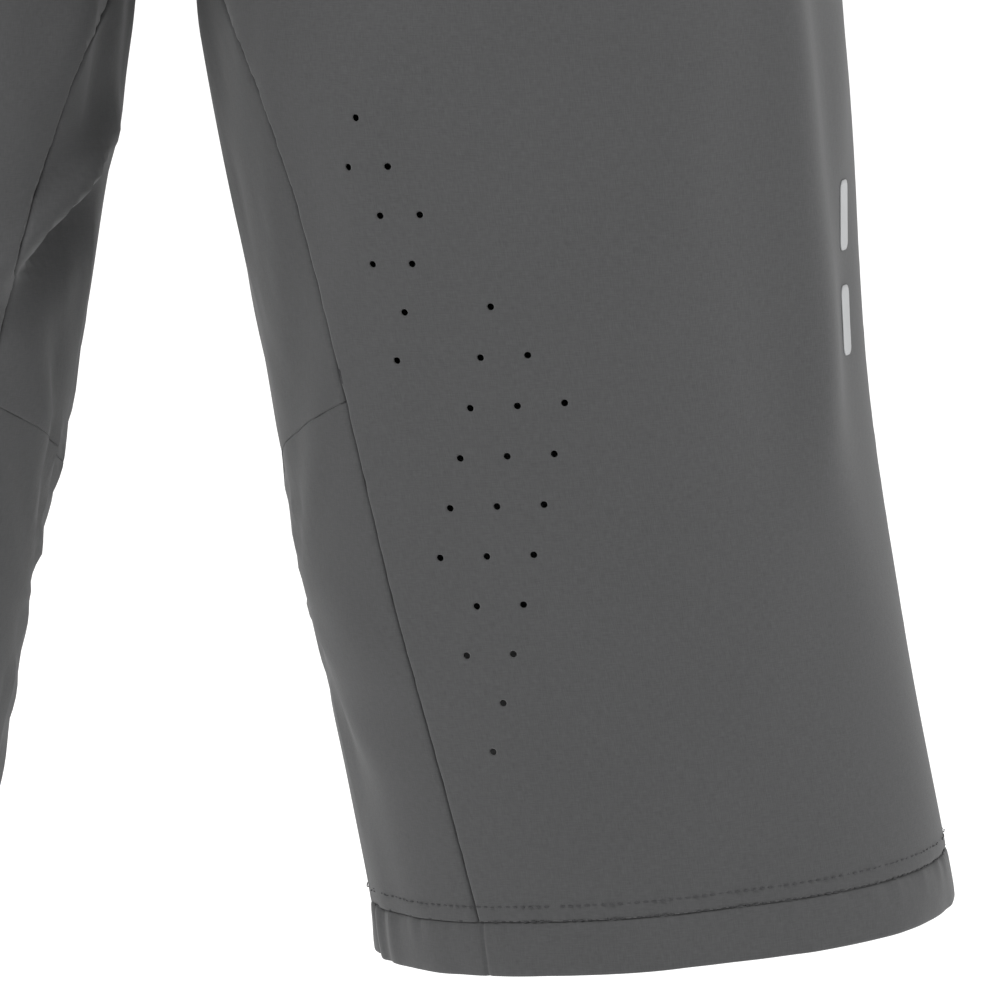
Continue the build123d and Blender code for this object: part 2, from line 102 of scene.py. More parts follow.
def smooth(edge0, edge1, value):
    """0 before one edge, 1 past the other, and an even ease between them."""
    share = np.clip((np.asarray(value, float) - edge0) / (edge1 - edge0), 0, 1)
    return share * share * (3 - 2 * share)


def bell(value, width):
    return np.exp(-(np.asarray(value, float) / width) ** 2)


waist_up = unit(joints["closure_tab_hinge"]["axis"])
waist_back = np.array([0, waist_up[2], -waist_up[1]])
hem_up = -unit(mounts["left_leg_opening"]["axis"])
hem_at = np.array(mounts["left_leg_opening"]["pos_m"])


# ---------------------------------------------------------------- the hanging shape
class Shape:
    """Half of a garment as a grid: columns run round the leg from the front inseam to the back, rows run down.

    A row lies in a plane that eases from the waist's tilt to the hem's. Its outline is an oval that is cut at
    the centre line above the crotch, and whose size at each height is measured on CAD nodes.
    """

    def __init__(self, measured, top, bottom, crotch, hem_lean, centre_ease=0.042, columns=97,
                 rows=(34, 72)):
        self.edges = edges_of(*measured)
        self.top, self.bottom, self.crotch = top, bottom, crotch
        self.hem_lean, self.centre_ease = hem_lean, centre_ease
        above = 1 - np.linspace(0, 1, rows[0] + 1)
        below = np.linspace(0, 1, rows[1] + 1)[1:]
        self.heights = np.concatenate([crotch + (top - crotch) * self.near(above, 0.35),
                                       crotch - (crotch - bottom) * self.near(below, 0.12)])
        self.crotch_row = rows[0]
        self.grid = self.lay(self.heights, self.outlines(self.heights), columns)

    @staticmethod
    def near(share, ease):
        """Row spacing that closes up towards the crotch."""
        return share ** 2 * (1 + ease) / (share + ease)

    def slopes(self, heights):
        """How much each row's plane rises per metre across and per metre back."""
        lean = self.hem_lean * smooth(self.crotch, self.bottom, heights)
        tilt = -waist_up[1] / waist_up[2] * (1 - smooth(self.top, self.top - 0.12, heights))
        return lean, tilt

    def outlines(self, heights):
        """Outer and inner x and front and back y of the CAD walls at each row, smoothed down the garment."""
        lean, tilt = self.slopes(heights)
        start, end = self.edges[:, 0], self.edges[:, 1]
        found = []
        inside = np.clip(heights, heights.min() + 0.0006, heights.max() - 0.0006)
        for height, across, back in zip(inside, lean, tilt):
            normal = np.array([-across, -back, 1])
            level = height - across * hem_at[0] + 0.00023
            low, high = start @ normal - level, end @ normal - level
            cross = (low * high < 0) & (start[:, 0] > -0.002)
            share = (low[cross] / (low[cross] - high[cross]))[:, None]
            cut = start[cross] + share * (end[cross] - start[cross])
            found.append((cut[:, 0].max(), cut[:, 0].min(), cut[:, 1].min(), cut[:, 1].max()))
        found = np.array(found)
        even = np.linspace(heights.min(), heights.max(), 240)
        spread = 7
        kernel = np.hanning(2 * spread + 1)
        kernel /= kernel.sum()
        order = np.argsort(heights)
        for column in range(4):
            line = np.interp(even, heights[order], found[order, column])
            padded = np.concatenate([2 * line[0] - line[spread:0:-1], line,
                                     2 * line[-1] - line[-2:-spread - 2:-1]])
            found[:, column] = np.interp(heights, even, np.convolve(padded, kernel, "valid"))
        return found

    def lay(self, heights, outline, columns):
        outer, inner, front, back = outline.T
        above = np.maximum(heights - self.crotch, 0)
        below = np.maximum(self.crotch - heights, 0)
        hip = 0.105
        ease = 0.004 + self.centre_ease * smooth(0, 0.09, above)
        outer_x = np.hypot(outer, ease)
        inner_wanted = np.sqrt((0.19 * below) ** 2 + 0.0016 * below * np.exp(-below / 0.03))
        settled = smooth(0.02, 0.07, below)
        inner_wanted = inner_wanted * (1 - settled) + np.maximum(inner, 0) * settled
        share = np.clip(above / hip, 0, 1)
        opening = 0.2 * above * (1 - share) + (ease + outer_x) * smooth(0, 1, share)
        inner_x = np.where(above > 0, np.maximum(ease - opening, -outer_x), np.hypot(inner_wanted, ease))
        centre_x, half_x = (outer_x + inner_x) / 2, (outer_x - inner_x) / 2
        centre_y, half_y = (front + back) / 2, (back - front) / 2
        turned = np.arccos(np.clip((ease - centre_x) / half_x, -1, 1))
        turned[self.crotch_row:] = math.pi
        turn = np.linspace(-1, 1, columns)[:, None] * turned[None, :]
        x = centre_x + half_x * np.cos(turn)
        y = centre_y + half_y * np.sin(turn)
        x = np.sqrt(np.maximum(x ** 2 - ease ** 2, 0))
        x[[0, -1], :self.crotch_row + 1] = 0
        lean, tilt = self.slopes(heights)
        z = heights + lean * (x - hem_at[0]) + tilt * y
        return np.stack([x, y, z], axis=-1)

    def share_of(self, height):
        """How far down the grid a height is, from 0 to 1."""
        rows = np.linspace(0, 1, len(self.heights))
        return np.interp(-np.asarray(height, float), -self.heights, rows)


class Skin:
    """A grid of points as a smooth surface. Places on it are (column share, row share), each from 0 to 1."""

    def __init__(self, shape, folds=None):
        self.shape = shape
        self.grid = shape.grid
        self.normals = self.find_normals()
        if folds is not None:
            self.grid = self.grid + self.normals * folds(self.grid, self.normals)[..., None]
            self.normals = self.find_normals()

    def find_normals(self):
        grid, crotch = self.grid, self.shape.crotch_row
        down = np.gradient(grid, axis=1)
        round_leg = np.gradient(grid, axis=0)
        joined = grid[1] - grid[-2]
        round_leg[0, crotch:] = round_leg[-1, crotch:] = joined[crotch:]
        normals = np.cross(down, round_leg)
        normals[[0, -1], :crotch, 0] = 0
        return unit(normals)

    def sample(self, table, u, v):
        """Catmull-Rom interpolation of a table that goes with the grid."""
        u, v = np.broadcast_arrays(np.asarray(u, float), np.asarray(v, float))
        nu, nv = table.shape[:2]
        cu = np.clip(u, 0, 1) * (nu - 1)
        cv = np.clip(v, 0, 1) * (nv - 1)
        iu = np.minimum(cu.astype(int), nu - 2)
        iv = np.minimum(cv.astype(int), nv - 2)
        total = 0
        for du, wu in zip((-1, 0, 1, 2), self.weights(cu - iu)):
            for dv, wv in zip((-1, 0, 1, 2), self.weights(cv - iv)):
                part = table[np.clip(iu + du, 0, nu - 1), np.clip(iv + dv, 0, nv - 1)]
                total = total + part * (wu * wv)[..., None]
        return total

    @staticmethod
    def weights(t):
        return (-0.5 * t + t ** 2 - 0.5 * t ** 3, 1 - 2.5 * t ** 2 + 1.5 * t ** 3,
                0.5 * t + 2 * t ** 2 - 1.5 * t ** 3, -0.5 * t ** 2 + 0.5 * t ** 3)

    def at(self, u, v):
        return self.sample(self.grid, u, v)

    def normal(self, u, v):
        return unit(self.sample(self.normals, u, v))

    def pushed(self, u, v, out):
        """Points of the surface moved out along its normal."""
        return self.at(u, v) + self.normal(u, v) * np.asarray(out)[..., None]

    def locate(self, targets, flatten, keep):
        """Places whose points flatten to the given targets, by a nearest grid point and a few Newton steps."""
        table = flatten(self.grid).reshape(-1, 2)
        allowed = keep(self.grid, self.normals).reshape(-1)
        nu, nv = self.grid.shape[:2]
        targets = np.asarray(targets, float).reshape(-1, 2)
        places = []
        for target in targets:
            away = np.linalg.norm(table - target, axis=1) + ~allowed
            i, j = divmod(int(np.argmin(away)), nv)
            places.append((i / (nu - 1), j / (nv - 1)))
        places = np.array(places)
        step = 1e-4
        for _ in range(7):
            here = flatten(self.at(places[:, 0], places[:, 1]))
            along_u = (flatten(self.at(places[:, 0] + step, places[:, 1])) - here) / step
            along_v = (flatten(self.at(places[:, 0], places[:, 1] + step)) - here) / step
            miss = targets - here
            size = along_u[:, 0] * along_v[:, 1] - along_u[:, 1] * along_v[:, 0]
            size = np.where(abs(size) < 1e-6, 1e-6, size)
            du = (miss[:, 0] * along_v[:, 1] - miss[:, 1] * along_v[:, 0]) / size
            dv = (along_u[:, 0] * miss[:, 1] - along_u[:, 1] * miss[:, 0]) / size
            places[:, 0] = np.clip(places[:, 0] + np.clip(du, -0.02, 0.02), 0, 1)
            places[:, 1] = np.clip(places[:, 1] + np.clip(dv, -0.02, 0.02), 0, 1)
        return places

    def ring(self, place, radius, count=12):
        """Places round a point of the surface, at a distance along it."""
        u, v = place
        step = 1e-3
        along_u = (self.at(u + step, v) - self.at(u - step, v)) / (2 * step)
        along_v = (self.at(u, v + step) - self.at(u, v - step)) / (2 * step)
        first = unit(along_u)
        second = unit(along_v - first * (along_v @ first))
        turns = np.arange(count) * 2 * math.pi / count
        offsets = radius * (np.cos(turns)[:, None] * first + np.sin(turns)[:, None] * second)
        solved = np.linalg.lstsq(np.stack([along_u, along_v], axis=1), offsets.T, rcond=None)[0]
        return np.array(place) + solved.T


# ---------------------------------------------------------------- the folds of the cloth
def wander(value, seed):
    """A smooth irregular line between about -1 and 1, the same each time."""
    value = np.asarray(value, float)
    total = 0
    for turn, part in ((1.0, 0.5), (1.73, 0.3), (2.91, 0.2)):
        total = total + part * np.sin(turn * value + seed * (1 + turn) + 0.7 * np.sin(0.41 * value * turn + seed))
    return total


def crease(grid, start, end, width, height, reach=0.03):
    """A soft ridge along a line between two (x, z) places on the front, fading past both ends."""
    start, end = np.array(start), np.array(end)
    along = unit(end - start)
    flat = grid[..., [0, 2]] - start
    run = flat @ along
    off = flat @ np.array([-along[1], along[0]])
    length = np.linalg.norm(end - start)
    fade = smooth(-reach, reach, run) * (1 - smooth(length - reach, length + reach, run))
    return height * bell(off, width) * fade


def shared_folds(grid, normals, seed):
    """What both legs have: elastic gathers, seat and knee creases, and an uneven hang."""
    x, y, z = grid[..., 0], grid[..., 1], grid[..., 2]
    faces_front = smooth(0.1, 0.6, -normals[..., 1])
    faces_back = smooth(0.35, 0.9, normals[..., 1])
    around = np.arctan2(x - 0.05, -y)
    below_band = -0.042 - z
    lift = 0.0007 * bell(below_band, 0.03) * wander(around * 26, seed) * (0.4 + 0.6 * faces_back)
    lift += 0.0016 * wander(around * 5 + z * 9, seed + 1) * smooth(-0.05, -0.14, z)
    lift += 0.0012 * wander(around * 9 - z * 14, seed + 2) * smooth(-0.24, -0.34, z)
    seat = wander((z + 0.24 + 0.35 * abs(x - 0.08)) * 95, seed + 3)
    lift += 0.0022 * faces_back * bell(z + 0.275, 0.05) * seat
    knee = wander((z + 0.5 - 0.2 * (x - 0.14)) * 70, seed + 4)
    lift += 0.0024 * faces_back * bell(z + 0.47, 0.09) * knee
    lift += 0.0011 * wander(around * 7, seed + 5) * smooth(-0.56, -0.64, z)
    lap = wander((z + 0.9 * x) * 60, seed + 6)
    lift += 0.0016 * faces_front * bell(z + 0.2, 0.045) * bell(x - 0.05, 0.06) * lap
    return lift


def calm(grid, lift):
    """Folds die out on the centre line, at the waist and where the zips hold the cloth flat."""
    x, z = grid[..., 0], grid[..., 2]
    above = smooth(-0.30, -0.24, z)
    lift = lift * (1 - above * (1 - smooth(0.0, 0.03, x)))
    lift = lift * smooth(-0.041, -0.052, z)
    fly_zone = bell(x, 0.03) * smooth(-0.21, -0.17, z) * (grid[..., 1] < 0)
    return lift * (1 - fly_zone)


def slump(grid, height, width, amount, sideways):
    """A broad push of the cloth on one side of the leg, towards the outer (+1) or inner (-1) side."""
    x, z = grid[..., 0], grid[..., 2]
    middle = np.interp(z, (hem_at[2], -0.26), (hem_at[0], 0.115))
    return amount * bell(z - height, width) * smooth(0.02, 0.075, sideways * (x - middle))


def left_folds(grid, normals):
    front = smooth(0.0, 0.5, -normals[..., 1] + 0.25)
    lift = shared_folds(grid, normals, 1.3)
    lift += slump(grid, -0.515, 0.060, 0.0042, -1)
    lift += slump(grid, -0.345, 0.060, 0.0014, 1)
    lift += slump(grid, -0.470, 0.050, -0.0012, 1)
    lift += slump(grid, -0.380, 0.080, -0.0012, -1)
    lift += slump(grid, -0.640, 0.060, 0.0040, 1)
    lift += front * crease(grid, (0.198, -0.24), (0.226, -0.470), 0.0085, 0.0048, 0.05)
    lift -= front * crease(grid, (0.212, -0.27), (0.238, -0.470), 0.0060, 0.0022, 0.05)
    lift -= front * crease(grid, (0.178, -0.28), (0.206, -0.470), 0.012, 0.0018, 0.05)
    lift += front * crease(grid, (0.020, -0.290), (0.080, -0.400), 0.013, 0.0012)
    lift += front * crease(grid, (0.120, -0.230), (0.185, -0.330), 0.022, 0.0022, 0.05)
    lift += front * crease(grid, (0.045, -0.505), (0.085, -0.545), 0.012, 0.0014)
    return calm(grid, lift)


def right_folds(grid, normals):
    front = smooth(0.05, 0.6, -normals[..., 1] + 0.15)
    lift = shared_folds(grid, normals, 4.9)
    lift += slump(grid, -0.325, 0.050, -0.0058, -1)
    lift += slump(grid, -0.400, 0.040, -0.0026, -1)
    lift += front * crease(grid, (0.008, -0.350), (0.045, -0.394), 0.0055, 0.0096)
    lift -= front * crease(grid, (0.010, -0.369), (0.044, -0.411), 0.0072, 0.0112)
    lift += front * crease(grid, (0.016, -0.288), (0.036, -0.352), 0.0080, 0.0045)
    lift += front * crease(grid, (0.048, -0.430), (0.040, -0.470), 0.0060, 0.0032)
    lift += front * crease(grid, (0.150, -0.25), (0.190, -0.42), 0.016, 0.0026, 0.05)
    return calm(grid, lift)


outer_nodes = ["front_panel_left", "back_panel_left", "inner_leg_panel_left", "hem_left", "crotch_gusset"]
crotch_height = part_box("crotch_gusset")[1][2] - 0.034
waist_top = float((points_of("waistband") @ waist_up).min()) / waist_up[2]
shell = Shape(outer_nodes, waist_top, hem_at[2], crotch_height, -hem_up[0] / hem_up[2])
skins = {"left": Skin(shell, left_folds), "right": Skin(shell, right_folds)}

liner_nodes = ["liner_front", "liner_back", "liner_leg_left", "leg_gripper_left"]
liner_top = float((points_of("liner_front") @ waist_up).max()) / waist_up[2]
liner_shape = Shape(liner_nodes, liner_top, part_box("leg_gripper_left")[0][2],
                    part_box("liner_leg_left")[1][2], 0.0,
                    0.034)


def liner_folds(grid, normals):
    around = np.arctan2(grid[..., 0] - 0.05, -grid[..., 1])
    return 0.0005 * wander(around * 8 + grid[..., 2] * 20, 2.2) * smooth(0.0, 0.03, grid[..., 0])


liner_skin = Skin(liner_shape, liner_folds)


# ---------------------------------------------------------------- making meshes
class Draft:
    """Points, faces and cloth coordinates of a piece on its way to being a mesh."""

    def __init__(self):
        self.points, self.uv, self.faces, self.count = [], [], [], 0

    def add(self, points, faces, uv=None):
        points = np.asarray(points, float).reshape(-1, 3)
        uv = np.zeros((len(points), 2)) if uv is None else np.asarray(uv, float).reshape(-1, 2)
        self.points.append(points)
        self.uv.append(uv)
        self.faces += [tuple(int(i) + self.count for i in face) for face in faces]
        self.count += len(points)
        return self

    def join(self, other):
        return self.add(np.concatenate(other.points), other.faces, np.concatenate(other.uv))

    def mirrored(self):
        return Draft().add(np.concatenate(self.points) * flip, [face[::-1] for face in self.faces],
                           np.concatenate(self.uv))

    def area(self):
        points = np.concatenate(self.points)
        total = 0
        for face in self.faces:
            fan = points[list(face)]
            for i in range(1, len(face) - 1):
                total += np.linalg.norm(np.cross(fan[i] - fan[0], fan[i + 1] - fan[0])) / 2
        return total

    def built(self, name, weld=0.0, flat=False, turn_out=False):
        mesh = bpy.data.meshes.new(name)
        mesh.from_pydata(np.concatenate(self.points).tolist(), [], self.faces)
        layer = mesh.uv_layers.new(name="cloth")
        corners = np.empty(len(mesh.loops), int)
        mesh.loops.foreach_get("vertex_index", corners)
        layer.data.foreach_set("uv", np.concatenate(self.uv)[corners].reshape(-1))
        work = bmesh.new()
        work.from_mesh(mesh)
        if weld:
            bmesh.ops.remove_doubles(work, verts=work.verts, dist=weld)
            bmesh.ops.dissolve_degenerate(work, edges=work.edges, dist=weld / 2)
        if turn_out:
            bmesh.ops.recalc_face_normals(work, faces=work.faces)
        for face in work.faces:
            face.smooth = not flat
        work.to_mesh(mesh)
        work.free()
        mesh.update()
        made = bpy.data.objects.new(name, mesh)
        bpy.context.collection.objects.link(made)
        return made


finishes = {}


def dress(piece, body, finish, stands_for=()):
    """Gives a piece its body and its material, and hides the CAD nodes that it stands for."""
    piece.data.materials.clear()
    piece.data.materials.append(finishes[finish])
    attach(piece, body)
    if stands_for:
        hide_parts(*stands_for)
    return piece


def thicken(piece, thickness, offset=-1.0):
    solid = piece.modifiers.new("thickness", "SOLIDIFY")
    solid.thickness = thickness
    solid.offset = offset
    return piece


def lattice_faces(rows, columns, wrap=False):
    """Quads of a lattice whose points run across each row, rows downwards."""
    last = columns if wrap else columns - 1
    return [(r * columns + c, (r + 1) * columns + c, (r + 1) * columns + (c + 1) % columns,
             r * columns + (c + 1) % columns)
            for r in range(rows - 1) for c in range(last)]


def graded(length, count, starts_fine=True, ends_fine=True):
    """Shares along each length, with three close steps beside an end that has a seam."""
    length = np.atleast_1d(np.asarray(length, float))
    fine = np.array([0.28, 0.62, 1.0]) * seam_width
    close = np.minimum(fine[None, :] / np.maximum(length[:, None], 1e-6), np.array([0.07, 0.15, 0.24]))
    first = close[:, -1:] if starts_fine else np.zeros((len(length), 1))
    last = 1 - close[:, -1:] if ends_fine else np.ones((len(length), 1))
    parts = [first + (last - first) * np.linspace(0, 1, count)]
    if starts_fine:
        parts = [np.zeros((len(length), 1)), close[:, :-1]] + parts
    if ends_fine:
        parts = parts + [1 - close[:, -2::-1], np.ones((len(length), 1))]
    return np.concatenate(parts, axis=1)


def rolled(distance, depth=seam_depth, width=seam_width):
    """How far the cloth turns in at a distance from its seam."""
    near = 1 - np.clip(np.asarray(distance, float) / width, 0, 1)
    return -depth * (1 - np.sqrt(np.maximum(1 - near ** 2, 0)))


# ---------------------------------------------------------------- zips' own frames
class Frame:
    """Local axes: across the zip, up it and out of the garment."""

    def __init__(self, slide, hinge, length, joint_at):
        self.up = -unit(joints[slide]["axis"])
        self.across = -unit(joints[hinge]["axis"])
        self.out = unit(np.cross(self.across, self.up))
        self.length = length
        self.origin = np.array(joint_at)

    def local(self, points):
        away = points - self.origin
        return np.stack([away @ self.across, away @ self.up, away @ self.out], axis=-1)

    def world(self, points):
        points = np.asarray(points, float)
        return self.origin + points[..., :1] * self.across + points[..., 1:2] * self.up + points[...,
                                                                                                 2:] * self.out


def zip_top(slide, hinge):
    """The top end of a zip on the line of the outer fabric, from its pull's pin."""
    up = -unit(joints[slide]["axis"])
    across = -unit(joints[hinge]["axis"])
    out = unit(np.cross(across, up))
    return np.array(joints[hinge]["pos_m"]) + 0.0078 * up - 0.0011 * out


fly = Frame("fly_zip_slide", "fly_pull_hinge", 0.118, zip_top("fly_zip_slide", "fly_pull_hinge"))
pocket = Frame("pocket_zip_slide_left", "pocket_pull_hinge_left", 0.120,
               zip_top("pocket_zip_slide_left", "pocket_pull_hinge_left"))


def settle(points):
    """Cloth beside the zips, and under a pull hanging below, lies flat in their planes."""
    for place in (fly, pocket):
        near = place.local(points)
        beyond = np.maximum(np.maximum(near[..., 1] - 0.002, -place.length - 0.021 - near[..., 1]), 0)
        hold = (1 - smooth(0.008, 0.024, abs(near[..., 0]))) * (1 - smooth(0.0, 0.02, beyond))
        hold = hold * (abs(near[..., 2]) < 0.02)
        highest = 0.0004 - 0.0008 * smooth(0, 0.003, -place.length - near[..., 1])
        wanted = np.clip(near[..., 2], -0.0016, highest)
        points = points + ((wanted - near[..., 2]) * hold)[..., None] * place.out
    return points


# ---------------------------------------------------------------- seams as lines on the skin
seam_drops = np.array([0.0, 0.050, 0.085, 0.119, 0.153, 0.187, 0.221, 0.289, 0.357, 0.4155])
seam_reach = np.array([0.0, 0.0085, 0.0175, 0.0316, 0.0432, 0.0520, 0.0600, 0.0755, 0.0935, 0.1085])


def seam_x(z):
    """How far out the inner leg seams lie at a height."""
    drop = np.clip(wedge_apex - z, 0, seam_drops[-1])
    return np.interp(drop, seam_drops, seam_reach)


def first_crossing(shares, values):
    """Where each row of values first turns from below zero to above it."""
    found = np.zeros(len(values))
    for row, line in enumerate(values):
        above = np.nonzero((line[:-1] <= 0) & (line[1:] > 0))[0]
        if len(above):
            i = above[0]
            found[row] = shares[i] + (shares[i + 1] - shares[i]) * line[i] / (line[i] - line[i + 1])
    return found


class Cut:
    """A skin's panel borders: for any share down the garment, where each seam lies round it."""

    def __init__(self, skin, has_fly=True):
        self.skin = skin
        self.v = np.linspace(0, 1, 600)
        fine = np.linspace(0, 1, 1201)
        u, v = np.meshgrid(fine, self.v)
        points = skin.at(u, v)
        front, back = fine < 0.45, fine > 0.55
        inner = np.where(points[..., 2] < wedge_apex, seam_x(points[..., 2]), 0)
        if has_fly:
            slit = fly_half_slit * smooth(fly_end - 0.003, fly_end + 0.003, points[..., 2])
            inner = np.maximum(inner, np.where(points[..., 1] < 0, slit, 0))
        gap = points[..., 0] - inner - 1e-7
        self.front_u = first_crossing(fine[front], gap[:, front])
        back_gap = (points[..., 0] - np.where(points[..., 2] < wedge_apex, seam_x(points[..., 2]),
                                              0) - 1e-7)
        self.back_u = 1 - first_crossing(1 - fine[back][::-1], back_gap[:, back][:, ::-1])
        side = (fine > 0.25) & (fine < 0.75)
        self.side_u = first_crossing(fine[side], points[..., 1][:, side] - side_seam_y)

    def front(self, v):
        return np.interp(v, self.v, self.front_u)

    def front_inner(self, v):
        return np.interp(v, self.v, self.front_u) * smooth(apex_share - 0.001, apex_share + 0.001, v)

    def back(self, v):
        return np.interp(v, self.v, self.back_u)

    def side(self, v):
        return np.interp(v, self.v, self.side_u)


cuts = {side: Cut(skins[side]) for side in ("left", "right")}
hem_share = float(shell.share_of(hem_at[2] + hem_height / hem_up[2]))
apex_share = float(shell.share_of(wedge_apex))
gusset_share = float(shell.share_of(gusset_end))


def pucker(along, distance, seed):
    """Small gathers that the sewing leaves beside a seam."""
    return 0.00028 * wander(np.asarray(along) / 0.0021, seed) * bell(distance, 0.005)


def strip(skin, rows, left, right, count, side_seams=(True, True), end_seams=(True, True), seed=0.0,
          slant=0.0):
    """A panel between two borders: its places, and how far each point is pushed out of the skin."""
    rows = np.asarray(rows)
    left, right = left(rows), right(rows)
    probe = left + (right - left) * np.linspace(0, 1, 13)[:, None]
    line = skin.at(probe, np.broadcast_to(rows, probe.shape))
    width = np.linalg.norm(np.diff(line, axis=0), axis=-1).sum(axis=0)
    share = graded(width, count, *side_seams)
    u = left[:, None] + (right - left)[:, None] * share
    v = np.broadcast_to(rows[:, None], u.shape)
    if slant:
        lower = share if side_seams[0] else 1 - share
        v = v + slant * lower * bell(v - gusset_share, 0.05)
    points = skin.at(u, v)
    middle = points[:, points.shape[1] // 2]
    run = np.concatenate([[0], np.cumsum(np.linalg.norm(np.diff(middle, axis=0), axis=-1))])
    from_left = share * width[:, None] if side_seams[0] else np.full(u.shape, 1.0)
    from_right = (1 - share) * width[:, None] if side_seams[1] else np.full(u.shape, 1.0)
    from_top = run[:, None] if end_seams[0] else 1.0
    from_end = run[-1] - run[:, None] if end_seams[1] else 1.0
    side_gap = np.minimum(from_left, from_right)
    end_gap = np.minimum(from_top, from_end) + 0 * u
    out = np.minimum(rolled(side_gap), rolled(end_gap) * (0.12 if slant else 1.0))
    out = out + pucker(run[:, None] + 0 * u, side_gap, seed)
    out = out + pucker(share * width[:, None], end_gap, seed + 1) * 1.5
    return u, v, out


def rows_between(first, last, spacing=0.0042, fine=(True, True)):
    height = abs(last - first) * cloth_down
    return first + (last - first) * graded(height, max(int(height / spacing), 4), *fine)[0]


def panel(skin, *args, **kwargs):
    """A strip as a draft with its cloth coordinates."""
    u, v, out = strip(skin, *args, **kwargs)
    points = settle(skin.pushed(u, v, out))
    uv = np.stack([u * cloth_round, v * cloth_down], axis=-1)
    return Draft().add(points, lattice_faces(*u.shape), uv)


# ---------------------------------------------------------------- front panels with vents and slits
def vent_places():
    """The two groups of vents on a thigh, as (x, z): slanting columns, each one hole longer than the last."""
    places = []
    for x, z, across, down, counts in ((0.0649, -0.3477, 0.0106, -0.0160, (2, 3, 4)),
                                       (0.1096, -0.4102, 0.0123, -0.0162, (6, 7, 8))):
        for column, holes in enumerate(counts):
            for hole in range(holes):
                slope, pitch = (0.0026, 0.0168) if len(places) < 9 else (0.0034, 0.0175)
                places.append((x + column * across - hole * slope, z + column * down - hole * pitch))
    return np.array(places)


def on_front(grid, normals):
    return normals[..., 1] < -0.15


def slit_loop(place, half_width, beyond, count=34):
    """A long loop round a zip's slit in its own frame, with rounded ends."""
    side = np.linspace(beyond, -place.length - beyond, count)
    corner = half_width * 0.6
    left = np.stack([np.full(count, -half_width), side], axis=-1)
    right = np.stack([np.full(count, half_width), side[::-1]], axis=-1)
    left[[0, -1], 0] += corner
    right[[0, -1], 0] -= corner
    return np.concatenate([left, right])


def front_panel(side):
    skin, cut = skins[side], cuts[side]
    rows = rows_between(0.0, hem_share)
    u, v, out = strip(skin, rows, cut.front, cut.side, 54, seed=2.0)
    faces = lattice_faces(*u.shape)
    shape = u.shape
    u, v, out = u.reshape(-1), v.reshape(-1), out.reshape(-1)
    points = skin.at(u, v)

    vents = skin.locate(vent_places(), lambda p: p[..., [0, 2]], on_front)
    vent_at = skin.at(vents[:, 0], vents[:, 1])
    keep = np.ones(len(u), bool)
    for centre in vent_at:
        keep &= np.linalg.norm(points - centre, axis=1) > 0.0031
    near = pocket.local(points)
    in_slit = (abs(near[:, 0]) < 0.0088) & (near[:, 1] < 0.0045) & (near[:, 1] > -pocket.length - 0.0045)
    in_slit &= abs(near[:, 2]) < 0.03
    keep &= ~in_slit

    places, pushes, loops, holes = [np.stack([u, v], -1)[keep]], [out[keep]], [], []
    count = int(keep.sum())
    slit_flat = lambda p: pocket.local(p)[..., :2]
    for half_width, beyond, push in ((0.0052, 0.0012, -0.0010), (0.0058, 0.0018, -0.0003),
                                     (0.0068, 0.0028, 0.0),
                                     (0.0082, 0.0042, 0.0)):
        loop = skin.locate(slit_loop(pocket, half_width, beyond), slit_flat, on_front)
        if not holes:
            holes.append(loop)
        places.append(loop)
        pushes.append(np.full(len(loop), push))
        loops.append(list(range(count, count + len(loop))))
        count += len(loop)
    for centre in vents:
        for radius, push in ((vent_radius, -0.00005), (vent_radius * 1.55, 0.00016),
                             (vent_radius * 2.1, 0.0)):
            loop = skin.ring(centre, radius)
            if radius == vent_radius:
                holes.append(loop)
            places.append(loop)
            pushes.append(np.full(len(loop), push))
            loops.append(list(range(count, count + len(loop))))
            count += len(loop)
    places, pushes = np.concatenate(places), np.concatenate(pushes)
    scale = np.array([cloth_round, cloth_down])
    flat = places * scale

    # the outline of the lattice, in order, and each loop are edges that the triangles respect
    index = np.full(shape[0] * shape[1], -1)
    index[keep] = np.arange(int(keep.sum()))
    index = index.reshape(shape)
    outline = list(index[:, 0]) + list(index[-1, 1:]) + list(index[::-1, -1][1:]) + list(index[0,
                                                                                               ::-1][1:-1])
    edges = [(int(a), int(b)) for a, b in zip(outline, outline[1:] + outline[:1]) if a != b]
    for loop in loops:
        edges += list(zip(loop, loop[1:] + loop[:1]))
    made = delaunay_2d_cdt([Vector(p) for p in flat], edges, [], 0, 1e-7)
    flat_out, triangles, origin = np.array([tuple(p) for p in made[0]]), np.array(made[2]), made[3]
    first = np.array([found[0] if found else 0 for found in origin])
    pushes = pushes[first]
    middle = flat_out[triangles].mean(axis=1) / scale
    inside = (middle[:, 0] > cut.front(middle[:, 1])) & (middle[:, 0] < cut.side(middle[:, 1]))
    inside &= (middle[:, 1] > 0) & (middle[:, 1] < hem_share)
    for hole in holes:
        inside &= ~inside_loop(middle * scale, hole * scale)
    corners = flat_out[triangles]
    turn = ((corners[:, 1, 0] - corners[:, 0, 0]) * (corners[:, 2, 1] - corners[:, 0, 1])
            - (corners[:, 1, 1] - corners[:, 0, 1]) * (corners[:, 2, 0] - corners[:, 0, 0]))
    inside &= abs(turn) > 1e-11
    triangles = np.where((turn > 0)[:, None], triangles[:, ::-1], triangles)[inside]
    spots = flat_out / scale
    points = settle(skin.pushed(spots[:, 0], spots[:, 1], pushes))
    return Draft().add(points, triangles.tolist(), flat_out)


